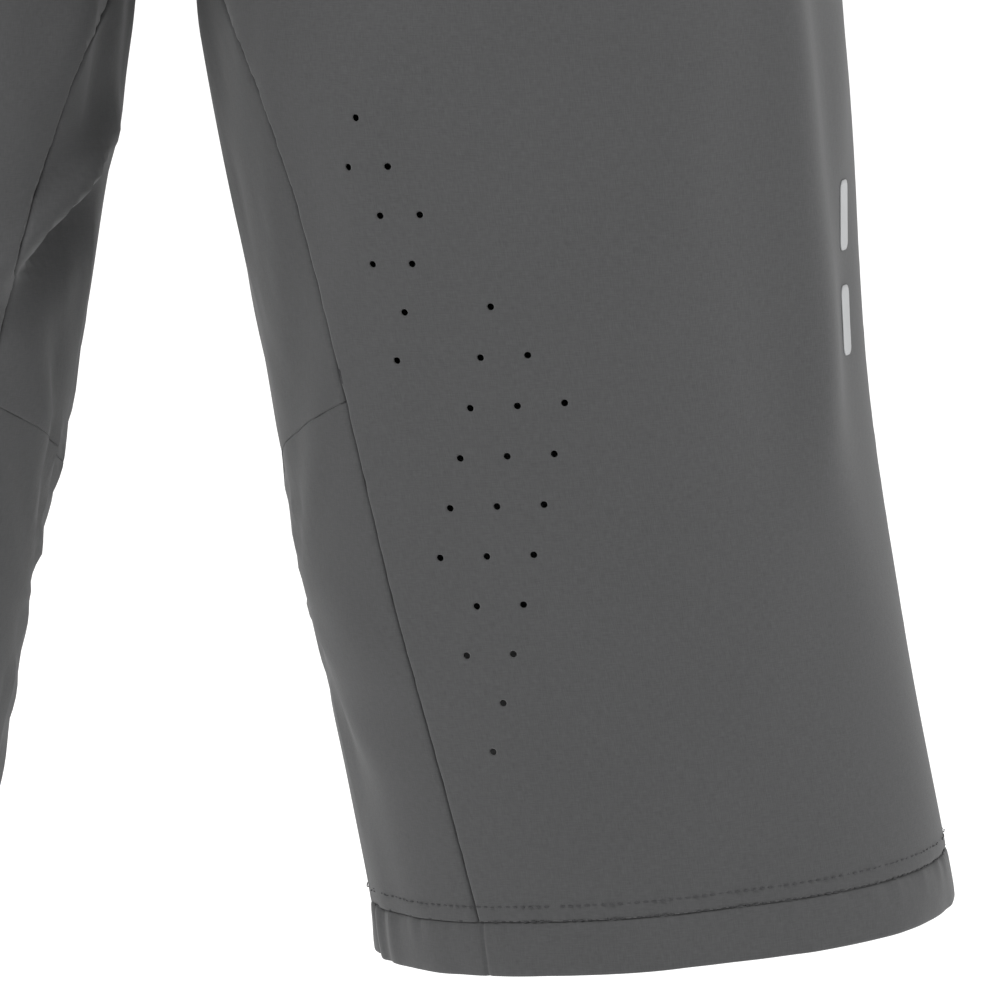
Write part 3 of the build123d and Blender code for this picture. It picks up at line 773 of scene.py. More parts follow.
def inside_loop(points, loop):
    """Which points lie inside a closed loop."""
    low, high = loop.min(axis=0), loop.max(axis=0)
    result = np.zeros(len(points), bool)
    near = np.nonzero(((points > low) & (points < high)).all(axis=1))[0]
    x, y = points[near, 0], points[near, 1]
    odd = np.zeros(len(near), bool)
    for (ax, ay), (bx, by) in zip(loop, np.roll(loop, -1, axis=0)):
        if ay == by:
            continue
        crosses = (ay > y) != (by > y)
        odd ^= crosses & (x < (bx - ax) * (y - ay) / (by - ay) + ax)
    result[near] = odd
    return result


def at_zero(v):
    return np.zeros_like(v)


def at_one(v):
    return np.ones_like(v)


def back_panel(side):
    cut = cuts[side]
    return panel(skins[side], rows_between(0.0, hem_share), cut.side, cut.back, 46, seed=5.0)


def inseam_piece(side, first, last, end_seams, seed):
    """The part of a leg's inner side between two heights, in its front and back halves."""
    cut = cuts[side]
    rows = rows_between(first, last, fine=end_seams)
    front = panel(skins[side], rows, at_zero, cut.front_inner, 12, (False, True), end_seams, seed,
                  slant=0.045)
    back = panel(skins[side], rows, cut.back, at_one, 12, (True, False), end_seams, seed + 1, slant=0.045)
    return front.join(back)


def hem_band(side):
    """The turned hem: outer face, the fold at the bottom edge and the turn-up behind."""
    skin = skins[side]
    profile = [(hem_height, -seam_depth), (0.0183, -0.00045), (0.0172, -0.0001), (0.0150, 0.00015),
               (0.0110, 0.0003), (0.0070, 0.0003), (0.0040, 0.0002), (0.0018, 0.0), (0.0007, -0.0003),
               (0.0001, -0.0010), (0.0001, -0.0018), (0.0008, -0.0024), (0.0020, -0.0026),
               (0.0070, -0.0025),
               (0.0130, -0.0024), (0.0190, -0.0022), (0.0240, -0.0020), (0.0262, -0.0018)]
    round_leg = np.arange(300) / 300
    seams = [float(border(1.0)) for border in (cuts[side].front, cuts[side].side, cuts[side].back)]
    beside = np.array([-0.0024, -0.0014, -0.0008, -0.0004, 0, 0.0004, 0.0008, 0.0014, 0.0024]) / 0.62
    round_leg = np.sort(np.concatenate([round_leg] + [seam + beside for seam in seams]))
    columns = len(round_leg)
    crossing = sum(bell((round_leg - seam) * 0.62, 0.0009) for seam in seams)
    height, out = np.array(profile).T
    v = shell.share_of(hem_at[2] + height / hem_up[2])[:, None] + np.zeros(columns)
    u = round_leg[None, :] + np.zeros((len(profile), 1))
    arc = round_leg * 0.62
    gather = 0.0008 * wander(arc / 0.0024, 3.0) * bell(height[:, None] - 0.021, 0.007) - 0.0007 * crossing
    edge = 0.0005 * wander(arc / 0.008, 7.0) * (1 - smooth(0.0, 0.012, height[:, None]))
    band = skin.pushed(u, v, out[:, None] + gather + edge)
    uv = np.stack([u * cloth_round, (1 - height[:, None] / cloth_down) * cloth_down + 0 * u], axis=-1)
    return Draft().add(band, lattice_faces(len(profile), columns, wrap=True), uv)


# ---------------------------------------------------------------- repeated small shapes: threads and zip teeth
class Build:
    """A node tree: one method makes any node, with its settings first and then its sockets' values or links."""

    def __init__(self, tree):
        self.tree = tree

    def node(self, kind, settings=None, **sockets):
        made = self.tree.nodes.new(kind)
        for name, value in (settings or {}).items():
            setattr(made, name, value)
        for name, value in sockets.items():
            self.connect(made.inputs[int(name[1:])] if name[1:].isdigit() else made.inputs[name.replace("_",
                                                                                                        " ")],
                         value)
        return made

    def connect(self, socket, value):
        if isinstance(value, Value):
            value = value.socket
        if isinstance(value, bpy.types.NodeSocket):
            self.tree.links.new(value, socket)
        elif value is not None:
            socket.default_value = value

    def value(self, socket):
        return Value(self, socket)


class Value:
    """A number socket that does arithmetic by adding Math nodes."""

    def __init__(self, build, socket):
        self.build, self.socket = build, socket

    def math(self, operation, *others):
        inputs = {f"i{i}": other for i, other in enumerate((self, *others))}
        made = self.build.node("ShaderNodeMath", {"operation": operation}, **inputs)
        return Value(self.build, made.outputs[0])

    def __add__(self, other):
        return self.math("ADD", other)

    def __mul__(self, other):
        return self.math("MULTIPLY", other)

    def __sub__(self, other):
        return self.math("SUBTRACT", other)

    def __rsub__(self, other):
        return self * -1.0 + other

    def __truediv__(self, other):
        return self.math("DIVIDE", other)

    def __pow__(self, other):
        return self.math("POWER", other)

    __radd__ = __add__
    __rmul__ = __mul__

    def sine(self):
        return self.math("SINE")

    def absolute(self):
        return self.math("ABSOLUTE")

    def above(self, edge, softness):
        """0 below an edge, 1 above it, over a softness."""
        made = self.build.node("ShaderNodeMapRange", {"interpolation_type": "SMOOTHSTEP"}, Value=self,
                               From_Min=edge - softness, From_Max=edge + softness)
        return Value(self.build, made.outputs[0])


def repeat_tree():
    """Lays a small rounded bead on each point, along and out as the point says."""
    tree = bpy.data.node_groups.new("lay_beads", "GeometryNodeTree")
    face = tree.interface
    face.new_socket("Geometry", in_out="INPUT", socket_type="NodeSocketGeometry")
    for name in ("Bead Length", "Bead Width", "Bead Height", "Unevenness"):
        face.new_socket(name, in_out="INPUT", socket_type="NodeSocketFloat")
    face.new_socket("Seed", in_out="INPUT", socket_type="NodeSocketInt")
    face.new_socket("Finish", in_out="INPUT", socket_type="NodeSocketMaterial")
    face.new_socket("Geometry", in_out="OUTPUT", socket_type="NodeSocketGeometry")
    build = Build(tree)
    given = build.node("NodeGroupInput").outputs
    bead = build.node("GeometryNodeMeshUVSphere", Segments=6, Rings=4, Radius=0.5).outputs["Mesh"]
    vector = {"data_type": "FLOAT_VECTOR"}
    along = build.node("GeometryNodeInputNamedAttribute", vector, Name="along").outputs["Attribute"]
    out = build.node("GeometryNodeInputNamedAttribute", vector, Name="out").outputs["Attribute"]
    turned = build.node("FunctionNodeAlignRotationToVector", {"axis": "X"},
                        Vector=along).outputs["Rotation"]
    turned = build.node("FunctionNodeAlignRotationToVector", {"axis": "Z", "pivot_axis": "X"},
                        Rotation=turned,
                        Vector=out).outputs["Rotation"]
    spread = build.node("FunctionNodeRandomValue", {"data_type": "FLOAT"}, Seed=given["Seed"])
    low = build.value(given["Unevenness"]) * -1.0 + 1.0
    high = build.value(given["Unevenness"]) * 0.6 + 1.0
    build.connect(spread.inputs[2], low)
    build.connect(spread.inputs[3], high)
    length = build.value(given["Bead Length"]) * build.value(spread.outputs[1])
    size = build.node("ShaderNodeCombineXYZ", X=length, Y=given["Bead Width"],
                      Z=given["Bead Height"]).outputs[0]
    laid = build.node("GeometryNodeInstanceOnPoints", Points=given["Geometry"], Instance=bead,
                      Rotation=turned,
                      Scale=size).outputs[0]
    real = build.node("GeometryNodeRealizeInstances", Geometry=laid).outputs[0]
    done = build.node("GeometryNodeSetMaterial", Geometry=real, Material=given["Finish"]).outputs[0]
    build.node("NodeGroupOutput", Geometry=done)
    return tree


bead_tree = repeat_tree()


def beads(name, spots, body, finish, length, width, height, unevenness=0.0, seed=1):
    """A plain mesh of beads on given (place, along, out) spots."""
    spots = np.concatenate(spots)
    seeds = bpy.data.meshes.new(name + "_spots")
    seeds.from_pydata(spots[:, 0].tolist(), [], [])
    for label, column in (("along", 1), ("out", 2)):
        attribute = seeds.attributes.new(label, "FLOAT_VECTOR", "POINT")
        attribute.data.foreach_set("vector", unit(spots[:, column]).reshape(-1))
    holder = bpy.data.objects.new(name + "_holder", seeds)
    bpy.context.collection.objects.link(holder)
    modifier = holder.modifiers.new("beads", "NODES")
    modifier.node_group = bead_tree
    wanted = {"Bead Length": float(length), "Bead Width": float(width), "Bead Height": float(height),
              "Unevenness": float(unevenness), "Seed": seed, "Finish": finishes[finish]}
    for item in bead_tree.interface.items_tree:
        if item.in_out == "INPUT" and item.name in wanted:
            modifier[item.identifier] = wanted[item.name]
    bpy.context.view_layer.update()
    mesh = bpy.data.meshes.new_from_object(holder.evaluated_get(bpy.context.evaluated_depsgraph_get()))
    bpy.data.objects.remove(holder)
    mesh.name = name
    made = bpy.data.objects.new(name, mesh)
    bpy.context.collection.objects.link(made)
    for polygon in mesh.polygons:
        polygon.use_smooth = True
    return dress(made, body, finish)


def spaced(points, normals, pitch=stitch_pitch, share=0.5):
    """Even (place, along, out) spots on a line of points."""
    points, normals = np.asarray(points, float), np.asarray(normals, float)
    run = np.concatenate([[0], np.cumsum(np.linalg.norm(np.diff(points, axis=0), axis=1))])
    count = max(int(run[-1] / pitch), 1)
    at = (np.arange(count) + share) * run[-1] / count
    place = np.stack([np.interp(at, run, points[:, i]) for i in range(3)], -1)
    ahead = np.stack([np.interp(at + 2e-4, run, points[:, i]) for i in range(3)], -1)
    behind = np.stack([np.interp(at - 2e-4, run, points[:, i]) for i in range(3)], -1)
    out = np.stack([np.interp(at, run, normals[:, i]) for i in range(3)], -1)
    return np.stack([place, ahead - behind, out], axis=1)


threads = {}


def sew(points, normals, body="garment", tone="thread", mirror=False, pitch=stitch_pitch):
    """Adds a row of stitches, and its mirror image for the other side if asked."""
    spots = spaced(points, normals, pitch)
    threads.setdefault((body, tone), []).append(spots)
    if mirror:
        threads[body, tone].append(spots * flip)


def skin_line(skin, u, v, lift):
    """Points and normals of a line on a skin, settled beside the zips."""
    return settle(skin.pushed(u, v, np.zeros_like(u) + lift)), skin.normal(u, v)


# ---------------------------------------------------------------- bands, strips and straps
def waist_world(points):
    """From the waistband's own axes, x to the left side, y back and z up, to the garment's."""
    points = np.asarray(points, float)
    return points[..., :1] * np.array([1.0, 0, 0]) + points[..., 1:2] * waist_back + points[...,
                                                                                            2:] * waist_up


def rounded_section(thickness, height, corner, steps=4, sag=0.0):
    """A closed section as (out, up) round a band, from the inner bottom corner."""
    corners = ((-thickness / 2 + corner, -height / 2 + corner, 180),
               (thickness / 2 - corner, -height / 2 + corner, 270),
               (thickness / 2 - corner, height / 2 - corner, 0),
               (-thickness / 2 + corner, height / 2 - corner, 90))
    found = []
    for out, up, first in corners:
        for step in range(steps + 1):
            turn = math.radians(first + 90 * step / steps)
            found.append((out + corner * math.cos(turn), up + corner * math.sin(turn)))
        if out > 0 and up < 0 or out < 0 and up > 0:
            target = 1 if out > 0 else -1
            for share in (0.2, 0.4, 0.6, 0.8):
                rise = (height / 2 - corner) * (2 * share - 1) * target
                found.append((target * (thickness / 2 + sag * 4 * share * (1 - share)), rise))
    return np.array(found)


def swept(stations, closed=False):
    """A solid through sections of equal count, with flat ends unless it closes on itself."""
    stations = np.asarray(stations, float)
    rows, count = stations.shape[:2]
    draft = Draft()
    run = np.concatenate([[0], np.cumsum(np.linalg.norm(np.diff(stations.mean(axis=1), axis=0), axis=1))])
    round_it = np.concatenate([[0], np.cumsum(np.linalg.norm(np.diff(stations[0], axis=0), axis=1))])
    uv = np.stack(np.meshgrid(run, round_it, indexing="ij"), axis=-1)
    faces = lattice_faces(rows, count, wrap=True)
    if closed:
        faces += [((rows - 1) * count + c, c, (c + 1) % count, (rows - 1) * count + (c + 1) % count)
                  for c in range(count)]
    else:
        faces += [tuple(range(count)), tuple((rows - 1) * count + c for c in range(count))[::-1]]
    return draft.add(stations, faces, uv)


def oval_point(x, half_width, half_depth, out):
    """A point beside the front of an oval, at a distance out along its normal, for given x."""
    y = -half_depth * np.sqrt(1 - (x / half_width) ** 2)
    normal = unit(np.stack([x / half_width ** 2, y / half_depth ** 2], -1))
    return np.stack([x, y], -1) + normal * out, normal


def oval_band(half_width, half_depth, section, middle_z, gap, columns=180, waves=0.0, seed=1.0):
    """A band round the waist from one side of the front gap to the other."""
    turn = np.linspace(gap, 2 * math.pi - gap, columns)
    x, y = half_width * np.sin(turn), -half_depth * np.cos(turn)
    normal = unit(np.stack([x / half_width ** 2, y / half_depth ** 2], -1))
    stations = []
    for i in range(columns):
        wave = waves * wander(turn[i] * 11, seed)
        out = section[:, 0] + wave
        up = section[:, 1] + middle_z + waves * 0.5 * wander(turn[i] * 7, seed + 1)
        stations.append(np.stack([x[i] + normal[i, 0] * out, y[i] + normal[i, 1] * out, up], -1))
    return swept(waist_world(np.array(stations)))


def box_of(name):
    low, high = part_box(name)
    return np.array(low), np.array(high)


def soften(name, width, finish, body, segments=2, weld=2e-5):
    """A copy of a moulded or cast CAD piece with its edges rounded."""
    copy = nodes[name].copy()
    copy.data = nodes[name].data.copy()
    copy.parent = None
    copy.name = name + "_finished"
    bpy.context.collection.objects.link(copy)
    work = bmesh.new()
    work.from_mesh(copy.data)
    bmesh.ops.remove_doubles(work, verts=work.verts, dist=weld)
    for face in work.faces:
        face.smooth = True
    work.to_mesh(copy.data)
    work.free()
    bevel = copy.modifiers.new("edges", "BEVEL")
    bevel.width = width
    bevel.segments = segments
    bevel.limit_method = "ANGLE"
    bevel.angle_limit = math.radians(35)
    bevel.harden_normals = True
    return dress(copy, body, finish, [name])


# ---------------------------------------------------------------- finishes
def mixed(build, factor, first, second):
    """A colour between two others."""
    made = build.node("ShaderNodeMix", {"data_type": "RGBA"}, i0=factor)
    build.connect(made.inputs[6], first)
    build.connect(made.inputs[7], second)
    return made.outputs[2]


def tinted(colour, share):
    return tuple(min(channel * share, 1.0) for channel in colour) + (1.0,)


class Finish:
    """A material under way: its node builder, its coordinates and its surface shader."""

    def __init__(self, name, metallic=0.0, specular=0.5, sheen=0.0):
        made = bpy.data.materials.new(name)
        made.use_nodes = True
        made.node_tree.nodes.clear()
        self.material = made
        self.build = Build(made.node_tree)
        self.shader = self.build.node("ShaderNodeBsdfPrincipled")
        self.shader.inputs["Metallic"].default_value = metallic
        self.shader.inputs["Specular IOR Level"].default_value = specular
        self.shader.inputs["Sheen Weight"].default_value = sheen
        self.shader.inputs["Sheen Roughness"].default_value = 0.6
        output = self.build.node("ShaderNodeOutputMaterial")
        made.node_tree.links.new(self.shader.outputs[0], output.inputs[0])
        finishes[name] = made

    def cloth(self):
        return self.build.node("ShaderNodeUVMap", {"uv_map": "cloth"}).outputs[0]

    def place(self):
        return self.build.node("ShaderNodeTexCoord").outputs["Object"]

    def scaled(self, vector, sizes):
        """A coordinate counted in pattern sizes along each axis."""
        made = self.build.node("ShaderNodeMapping", Vector=vector)
        made.inputs["Scale"].default_value = [1 / size for size in sizes]
        return made.outputs[0]

    def noise(self, vector, sizes, detail=2.0):
        made = self.build.node("ShaderNodeTexNoise", Vector=self.scaled(vector, sizes), Scale=1.0,
                               Detail=detail)
        return Value(self.build, made.outputs["Fac"])

    def parts(self, vector):
        made = self.build.node("ShaderNodeSeparateXYZ", Vector=vector)
        return [Value(self.build, socket) for socket in made.outputs]

    def finish(self, colour, roughness, height=None, strength=0.3, depth=0.0002):
        self.build.connect(self.shader.inputs["Base Color"], colour)
        self.build.connect(self.shader.inputs["Roughness"], roughness)
        if height is not None:
            bump = self.build.node("ShaderNodeBump", Strength=strength, Distance=depth, Height=height)
            self.build.connect(self.shader.inputs["Normal"], bump.outputs[0])
        return self.material


def woven(name, colour, thread=0.00042, contrast=0.16, strength=0.35, roughness=0.86, sheen=0.12):
    """Plain weave: threads both ways with slubs, faint heather and slow changes of tone."""
    made = Finish(name, specular=0.25, sheen=sheen)
    cloth_at = made.cloth()
    warp = made.noise(cloth_at, (thread, thread * 9, 1), 1.0)
    weft = made.noise(cloth_at, (thread * 9, thread, 1), 1.0)
    heather = made.noise(made.place(), (0.0016, 0.0016, 0.0016), 2.0)
    slow = made.noise(made.place(), (0.05, 0.05, 0.05), 2.0)
    weave = warp * 0.5 + weft * 0.5
    tone = (weave - 0.5) * 2.2 + (heather - 0.5) * 0.7 + (slow - 0.5) * 0.5 + 0.5
    shade = mixed(made.build, tone, tinted(colour, 1 - contrast), tinted(colour, 1 + contrast))
    return made.finish(shade, (slow - 0.5) * 0.12 + roughness, weave + heather * 0.3, strength, 0.00025)


def knitted(name, colour, loop=0.0016, hole=0.45):
    """A mesh knit: rows of small holes between ribs."""
    made = Finish(name, specular=0.2, sheen=0.2)
    across, down, _ = made.parts(made.scaled(made.cloth(), (loop, loop, 1)))
    ribs = (across * math.pi).sine().absolute()
    rungs = (down * math.pi + (across * math.pi).sine() * 0.6).sine().absolute()
    open_part = (1.0 - ribs * rungs).above(hole, 0.25)
    slow = made.noise(made.place(), (0.03, 0.03, 0.03), 2.0)
    shade = mixed(made.build, open_part, tinted(colour, 0.45), tinted(colour, 1.15))
    return made.finish(shade, slow * 0.1 + 0.82, open_part, 0.6, 0.0004)


def ribbed(name, colour, rib=0.0018, roughness=0.75):
    """Elastic or tape: ribs across its length, fine threads along them."""
    made = Finish(name, specular=0.3, sheen=0.1)
    cloth_at = made.cloth()
    along, across, _ = made.parts(made.scaled(cloth_at, (rib, rib, 1)))
    ribs = (across * 2 * math.pi).sine() * 0.5 + 0.5
    thread = made.noise(cloth_at, (0.0004, 0.0012, 1), 1.0)
    tone = ribs * 0.6 + thread * 0.6
    shade = mixed(made.build, tone, tinted(colour, 0.75), tinted(colour, 1.3))
    return made.finish(shade, thread * 0.1 + roughness, tone, 0.5, 0.0003)


def cast(name, colour, roughness, metallic=0.0, grain=0.0012, contrast=0.12, strength=0.08):
    """Moulded, cast or coated parts: slight mottling, tiny relief and uneven gloss."""
    made = Finish(name, metallic=metallic)
    fine = made.noise(made.place(), (grain, grain, grain), 3.0)
    slow = made.noise(made.place(), (0.006, 0.006, 0.006), 2.0)
    shade = mixed(made.build, fine * 0.6 + slow * 0.4, tinted(colour, 1 - contrast),
                  tinted(colour, 1 + contrast))
    return made.finish(shade, (fine - 0.5) * 0.2 + roughness, fine, strength, 0.0002)


def reflecting_film():
    """Glass-bead film: pale, with a fine glitter and slow changes of tone."""
    made = Finish("film", specular=0.6)
    sparkle = made.noise(made.place(), (0.0003, 0.0003, 0.0003), 1.0)
    slow = made.noise(made.place(), (0.01, 0.01, 0.01), 2.0)
    tone = sparkle * 0.7 + slow * 0.3
    shade = mixed(made.build, tone, (0.20, 0.205, 0.21, 1), (0.36, 0.365, 0.37, 1))
    return made.finish(shade, (sparkle - 0.5) * 0.3 + 0.42, sparkle, 0.15, 0.0001)


shell_tone = (0.0424, 0.0428, 0.0437)
woven("shell_cloth", shell_tone)
woven("band_cloth", tinted(shell_tone, 0.92)[:3], 0.0005, 0.14)
woven("pocket_lining", (0.035, 0.036, 0.039), 0.0003, 0.12, 0.2)
woven("pad_cloth", (0.055, 0.058, 0.063), 0.0005, 0.18)
knitted("liner_knit", (0.050, 0.052, 0.056))
knitted("facing_knit", (0.035, 0.036, 0.039), 0.0011, 0.35)
ribbed("elastic_rib", (0.030, 0.030, 0.033))
ribbed("tape_weave", (0.022, 0.022, 0.025), 0.0009)
ribbed("strap_weave", (0.033, 0.034, 0.037), 0.0014)
woven("loop_pile", (0.028, 0.029, 0.031), 0.0009, 0.3, 0.9, 0.95, 0.4)
cast("grip_rubber", (0.040, 0.040, 0.045), 0.55, grain=0.0025, strength=0.3)
cast("foam_cells", (0.090, 0.090, 0.100), 0.9, grain=0.0009, contrast=0.25, strength=0.6)
cast("coil_plastic", (0.020, 0.020, 0.022), 0.45)
cast("gunmetal", (0.110, 0.110, 0.118), 0.36, 0.9, 0.0008)
cast("black_metal", (0.050, 0.050, 0.055), 0.42, 0.7, 0.0008)
cast("thread", (0.040, 0.040, 0.042), 0.7, grain=0.0003, contrast=0.25)
cast("dark_thread", (0.022, 0.022, 0.024), 0.7, grain=0.0003, contrast=0.25)
reflecting_film()


# ---------------------------------------------------------------- the outer short
def declare(draft):
    """Works out the area of the flat piece of cloth that a panel was cut from; nothing keeps it."""
    area = round(draft.area(), 4)


def side_of(side, draft):
    return draft if side == "left" else draft.mirrored()


gusset = Draft()
for side in ("left", "right"):
    drafts = {
        "front_panel": front_panel(side),
        "back_panel": back_panel(side),
        "inner_leg_panel": inseam_piece(side, gusset_share, hem_share, (True, True), 8.0),
        "hem": hem_band(side),
    }
    for name, draft in drafts.items():
        piece = side_of(side, draft).built(f"{name}_{side}_cloth", weld=2e-5)
        thicken(piece, cloth)
        dress(piece, "garment", "shell_cloth", [f"{name}_{side}"])
        declare(draft)
    gusset.join(side_of(side, inseam_piece(side, apex_share, gusset_share, (False, True), 11.0)))
piece = gusset.built("crotch_gusset_cloth", weld=4e-5)
thicken(piece, cloth)
dress(piece, "garment", "shell_cloth", ["crotch_gusset"])
declare(gusset)

for side in ("left", "right"):
    skin, turn = skins[side], (1 if side == "left" else flip)
    round_leg = np.linspace(0, 1, 900)
    for height, lift in ((hem_height + 0.0003, -0.0006), (hem_height + needle_gap, 0.0002)):
        v = float(shell.share_of(hem_at[2] + height / hem_up[2])) + 0 * round_leg
        arc = round_leg * 0.62
        gather = 0.0008 * wander(arc / 0.0024, 3.0) * bell(height - 0.021, 0.007)
        line, out = skin_line(skin, round_leg, v, lift + gather)
        threads.setdefault(("garment", "dark_thread"), []).append(spaced(line, out) * turn)
    loop = skin.locate(slit_loop(pocket, 0.0102, 0.0062, 60), lambda p: pocket.local(p)[..., :2], on_front)
    loop = np.concatenate([loop, loop[:1]])
    line, out = skin_line(skin, loop[:, 0], loop[:, 1], 0.0)
    threads.setdefault(("garment", "thread"), []).append(spaced(line, out) * turn)
    for end in (0.0028, -pocket.length - 0.0028):
        for row in (-0.0006, 0.0006):
            across = np.stack([np.linspace(-0.006, 0.006, 9), np.full(9, end + row)], -1)
            spots = skin.locate(across, lambda p: pocket.local(p)[..., :2], on_front)
            line, out = skin_line(skin, spots[:, 0], spots[:, 1], 0.0001)
            threads["garment", "thread"].append(spaced(line, out, 0.0012) * turn)
    tack_v = np.linspace(gusset_share - 0.018, gusset_share - 0.010, 8)
    line, out = skin_line(skin, cuts[side].front(tack_v) + 0.002, tack_v, 0.0)
    threads["garment", "dark_thread"].append(spaced(line, out, 0.0013) * turn)

# the curved row that holds the fly's facing
drop = np.linspace(0, 1, 60)
fly_x = 0.034 * np.sqrt(np.maximum(1 - smooth(0.66, 1.0, drop) ** 1.6, 0.0)) + 0.0015
fly_z = -0.057 - 0.121 * drop
for offset in (0.0, 0.0055):
    target = np.stack([fly_x + offset, fly_z - offset * smooth(0.7, 1.0, drop)], -1)
    spots = skins["left"].locate(target, lambda p: p[..., [0, 2]], on_front)
    line, out = skin_line(skins["left"], spots[:, 0], spots[:, 1], 0.0)
    sew(line, out)

# ---------------------------------------------------------------- waistband, closure and snaps
half_wide, half_deep = 0.158, 0.112
band_thick, facing_thick, band_high = 0.003, 0.0012, 0.042
section = rounded_section(band_thick, band_high, 0.0013, sag=0.0005)
band = oval_band(half_wide - band_thick / 2, half_deep - band_thick / 2, section, -band_high / 2, 0.0097,
                 waves=0.0006)
piece = band.built("waist_band", turn_out=True)
dress(piece, "garment", "band_cloth", ["waistband"])
section = rounded_section(facing_thick, band_high - 0.001, 0.0005)
inner = oval_band(half_wide - band_thick - facing_thick / 2 - 0.0003,
                  half_deep - band_thick - facing_thick / 2 - 0.0003,
                  section, -band_high / 2, 0.0099, waves=0.0004)
piece = inner.built("waist_facing", turn_out=True)
dress(piece, "garment", "facing_knit", ["waistband_facing"])

turn = np.linspace(0.024, 2 * math.pi - 0.024, 700)
for low in (-0.0030, -0.0388):
    flat = np.stack([half_wide * np.sin(turn), -half_deep * np.cos(turn)], -1)
    normal = unit(flat / np.array([half_wide ** 2, half_deep ** 2]))
    wave = 0.0006 * wander(turn * 11, 1.0) + 0.00005
    flat = flat + normal * wave[:, None]
    sew(waist_world(np.column_stack([flat, np.full(len(turn), low)])),
        waist_world(np.column_stack([normal, np.zeros(len(turn))])))

tab_root, tab_tip, tab_high, tab_out, tab_thick = 0.018, 0.044, 0.036, 0.0026, 0.002


def tab_half(x, inset=0.0):
    """Half the tab's height at x, with its two tip corners rounded."""
    corner = 0.008
    into = np.clip(corner - (x + tab_tip - inset), 0, corner)
    return tab_high / 2 - inset - (corner - np.sqrt(corner ** 2 - into ** 2))


stations = []
for x in np.concatenate([np.linspace(tab_root, -0.034, 30),
                         -0.034 - 0.01 * np.sin(np.linspace(0.1, math.pi / 2, 12))]):
    section = rounded_section(tab_thick, 2 * float(tab_half(x)), 0.0008)
    flat, normal = oval_point(x, half_wide, half_deep, tab_out)
    station = np.column_stack([flat + normal * section[:, :1], section[:, 1] - band_high / 2])
    stations.append(station)
piece = swept(waist_world(np.array(stations))).built("closure_tab_cloth", turn_out=True)
dress(piece, "closure_tab", "band_cloth", ["closure_tab"])
edge_x = np.concatenate([np.linspace(tab_root - 0.003, -tab_tip + 0.0035, 60)])
edge_up = tab_half(edge_x, 0.0028)
outline = np.concatenate([np.column_stack([edge_x, edge_up]), np.column_stack([edge_x, -edge_up])[::-1]])
outline = np.concatenate([outline, outline[:1]])
flat, normal = oval_point(outline[:, 0], half_wide, half_deep, tab_out + tab_thick / 2 + 0.00005)
sew(waist_world(np.column_stack([flat, outline[:, 1] - band_high / 2])),
    waist_world(np.column_stack([normal, np.zeros(len(normal))])), "closure_tab")


def repaint(name, finish):
    """A CAD node whose shape stays gets its finish."""
    node = nodes[name]
    if not node.material_slots:
        node.data.materials.append(finishes[finish])
    for held in node.material_slots:
        held.material = finishes[finish]


for name in ("snap_caps", "snap_sockets", "snap_studs"):
    repaint(name, "black_metal")

# ---------------------------------------------------------------- zips
for name in ("fly_slider", "pocket_slider_left", "pocket_slider_right"):
    soften(name, 0.00028, "gunmetal", name)
for name in ("fly_pull", "pocket_pull_left", "pocket_pull_right"):
    soften(name, 0.00025, "gunmetal", name, 3)
repaint("fly_stops", "gunmetal")


def tape(place, side):
    """One of a zip's two tapes, from the coil outwards."""
    across = side * np.array([0.0006, 0.0012, 0.0030, 0.0050, 0.0070, 0.0086, 0.0094])
    along = np.linspace(0.001, -place.length + 0.0005, 64)
    x, y = np.meshgrid(across if side > 0 else across[::-1], along)
    z = -0.0029 - 0.00012 * (1 + np.sin(y * 900)) * smooth(0.004, 0.009, abs(x))
    grid = place.world(np.stack([x, y, z], -1))
    return Draft().add(grid, lattice_faces(*x.shape), np.stack([y, x], -1))


def teeth(place):
    """The spots of a zip's two rows of coil turns."""
    spots = []
    count = int((place.length - 0.005) / 0.0012)
    for side in (-1, 1):
        y = -0.0026 - (np.arange(count) + (0.5 if side > 0 else 0.0)) * 0.0012
        local = np.stack([np.full(count, side * 0.0014), y, np.full(count, -0.00215)], -1)
        spots.append(np.stack([place.world(local), np.tile(place.across, (count, 1)),
                               np.tile(place.out, (count, 1))],
                              axis=1))
    return spots


def underlay():
    across = np.linspace(-0.019, 0.019, 15)
    along = np.linspace(0, -fly.length, 40)
    x, y = np.meshgrid(across, along)
    z = -0.0067 - 0.0004 * (x / 0.019) ** 2 + 0.0002 * wander(y * 160, 2.0)
    return Draft().add(fly.world(np.stack([x, y, z], -1)), lattice_faces(*x.shape), np.stack([x, y], -1))


def finish_zip(place, label, suffix, mirror):
    turned = (lambda draft: draft.mirrored()) if mirror else (lambda draft: draft)
    tapes = turned(tape(place, 1).join(tape(place, -1)))
    piece = tapes.built(f"{label}_tape_cloth{suffix}")
    thicken(piece, 0.0006)
    dress(piece, "garment", "tape_weave", [f"{label}_tapes{suffix}"])
    spots = [spot * (flip if mirror else 1) for spot in teeth(place)]
    coils = beads(f"{label}_coil_turns{suffix}", spots, "garment", "coil_plastic", 0.0025,
                  0.00105, 0.0015)
    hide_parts(f"{label}_coils{suffix}")


finish_zip(fly, "fly", "", False)
draft = underlay()
piece = draft.built("fly_underlay_cloth")
thicken(piece, 0.0007)
dress(piece, "garment", "shell_cloth", ["fly_underlay"])
for side in ("left", "right"):
    finish_zip(pocket, "pocket", f"_{side}", side == "right")


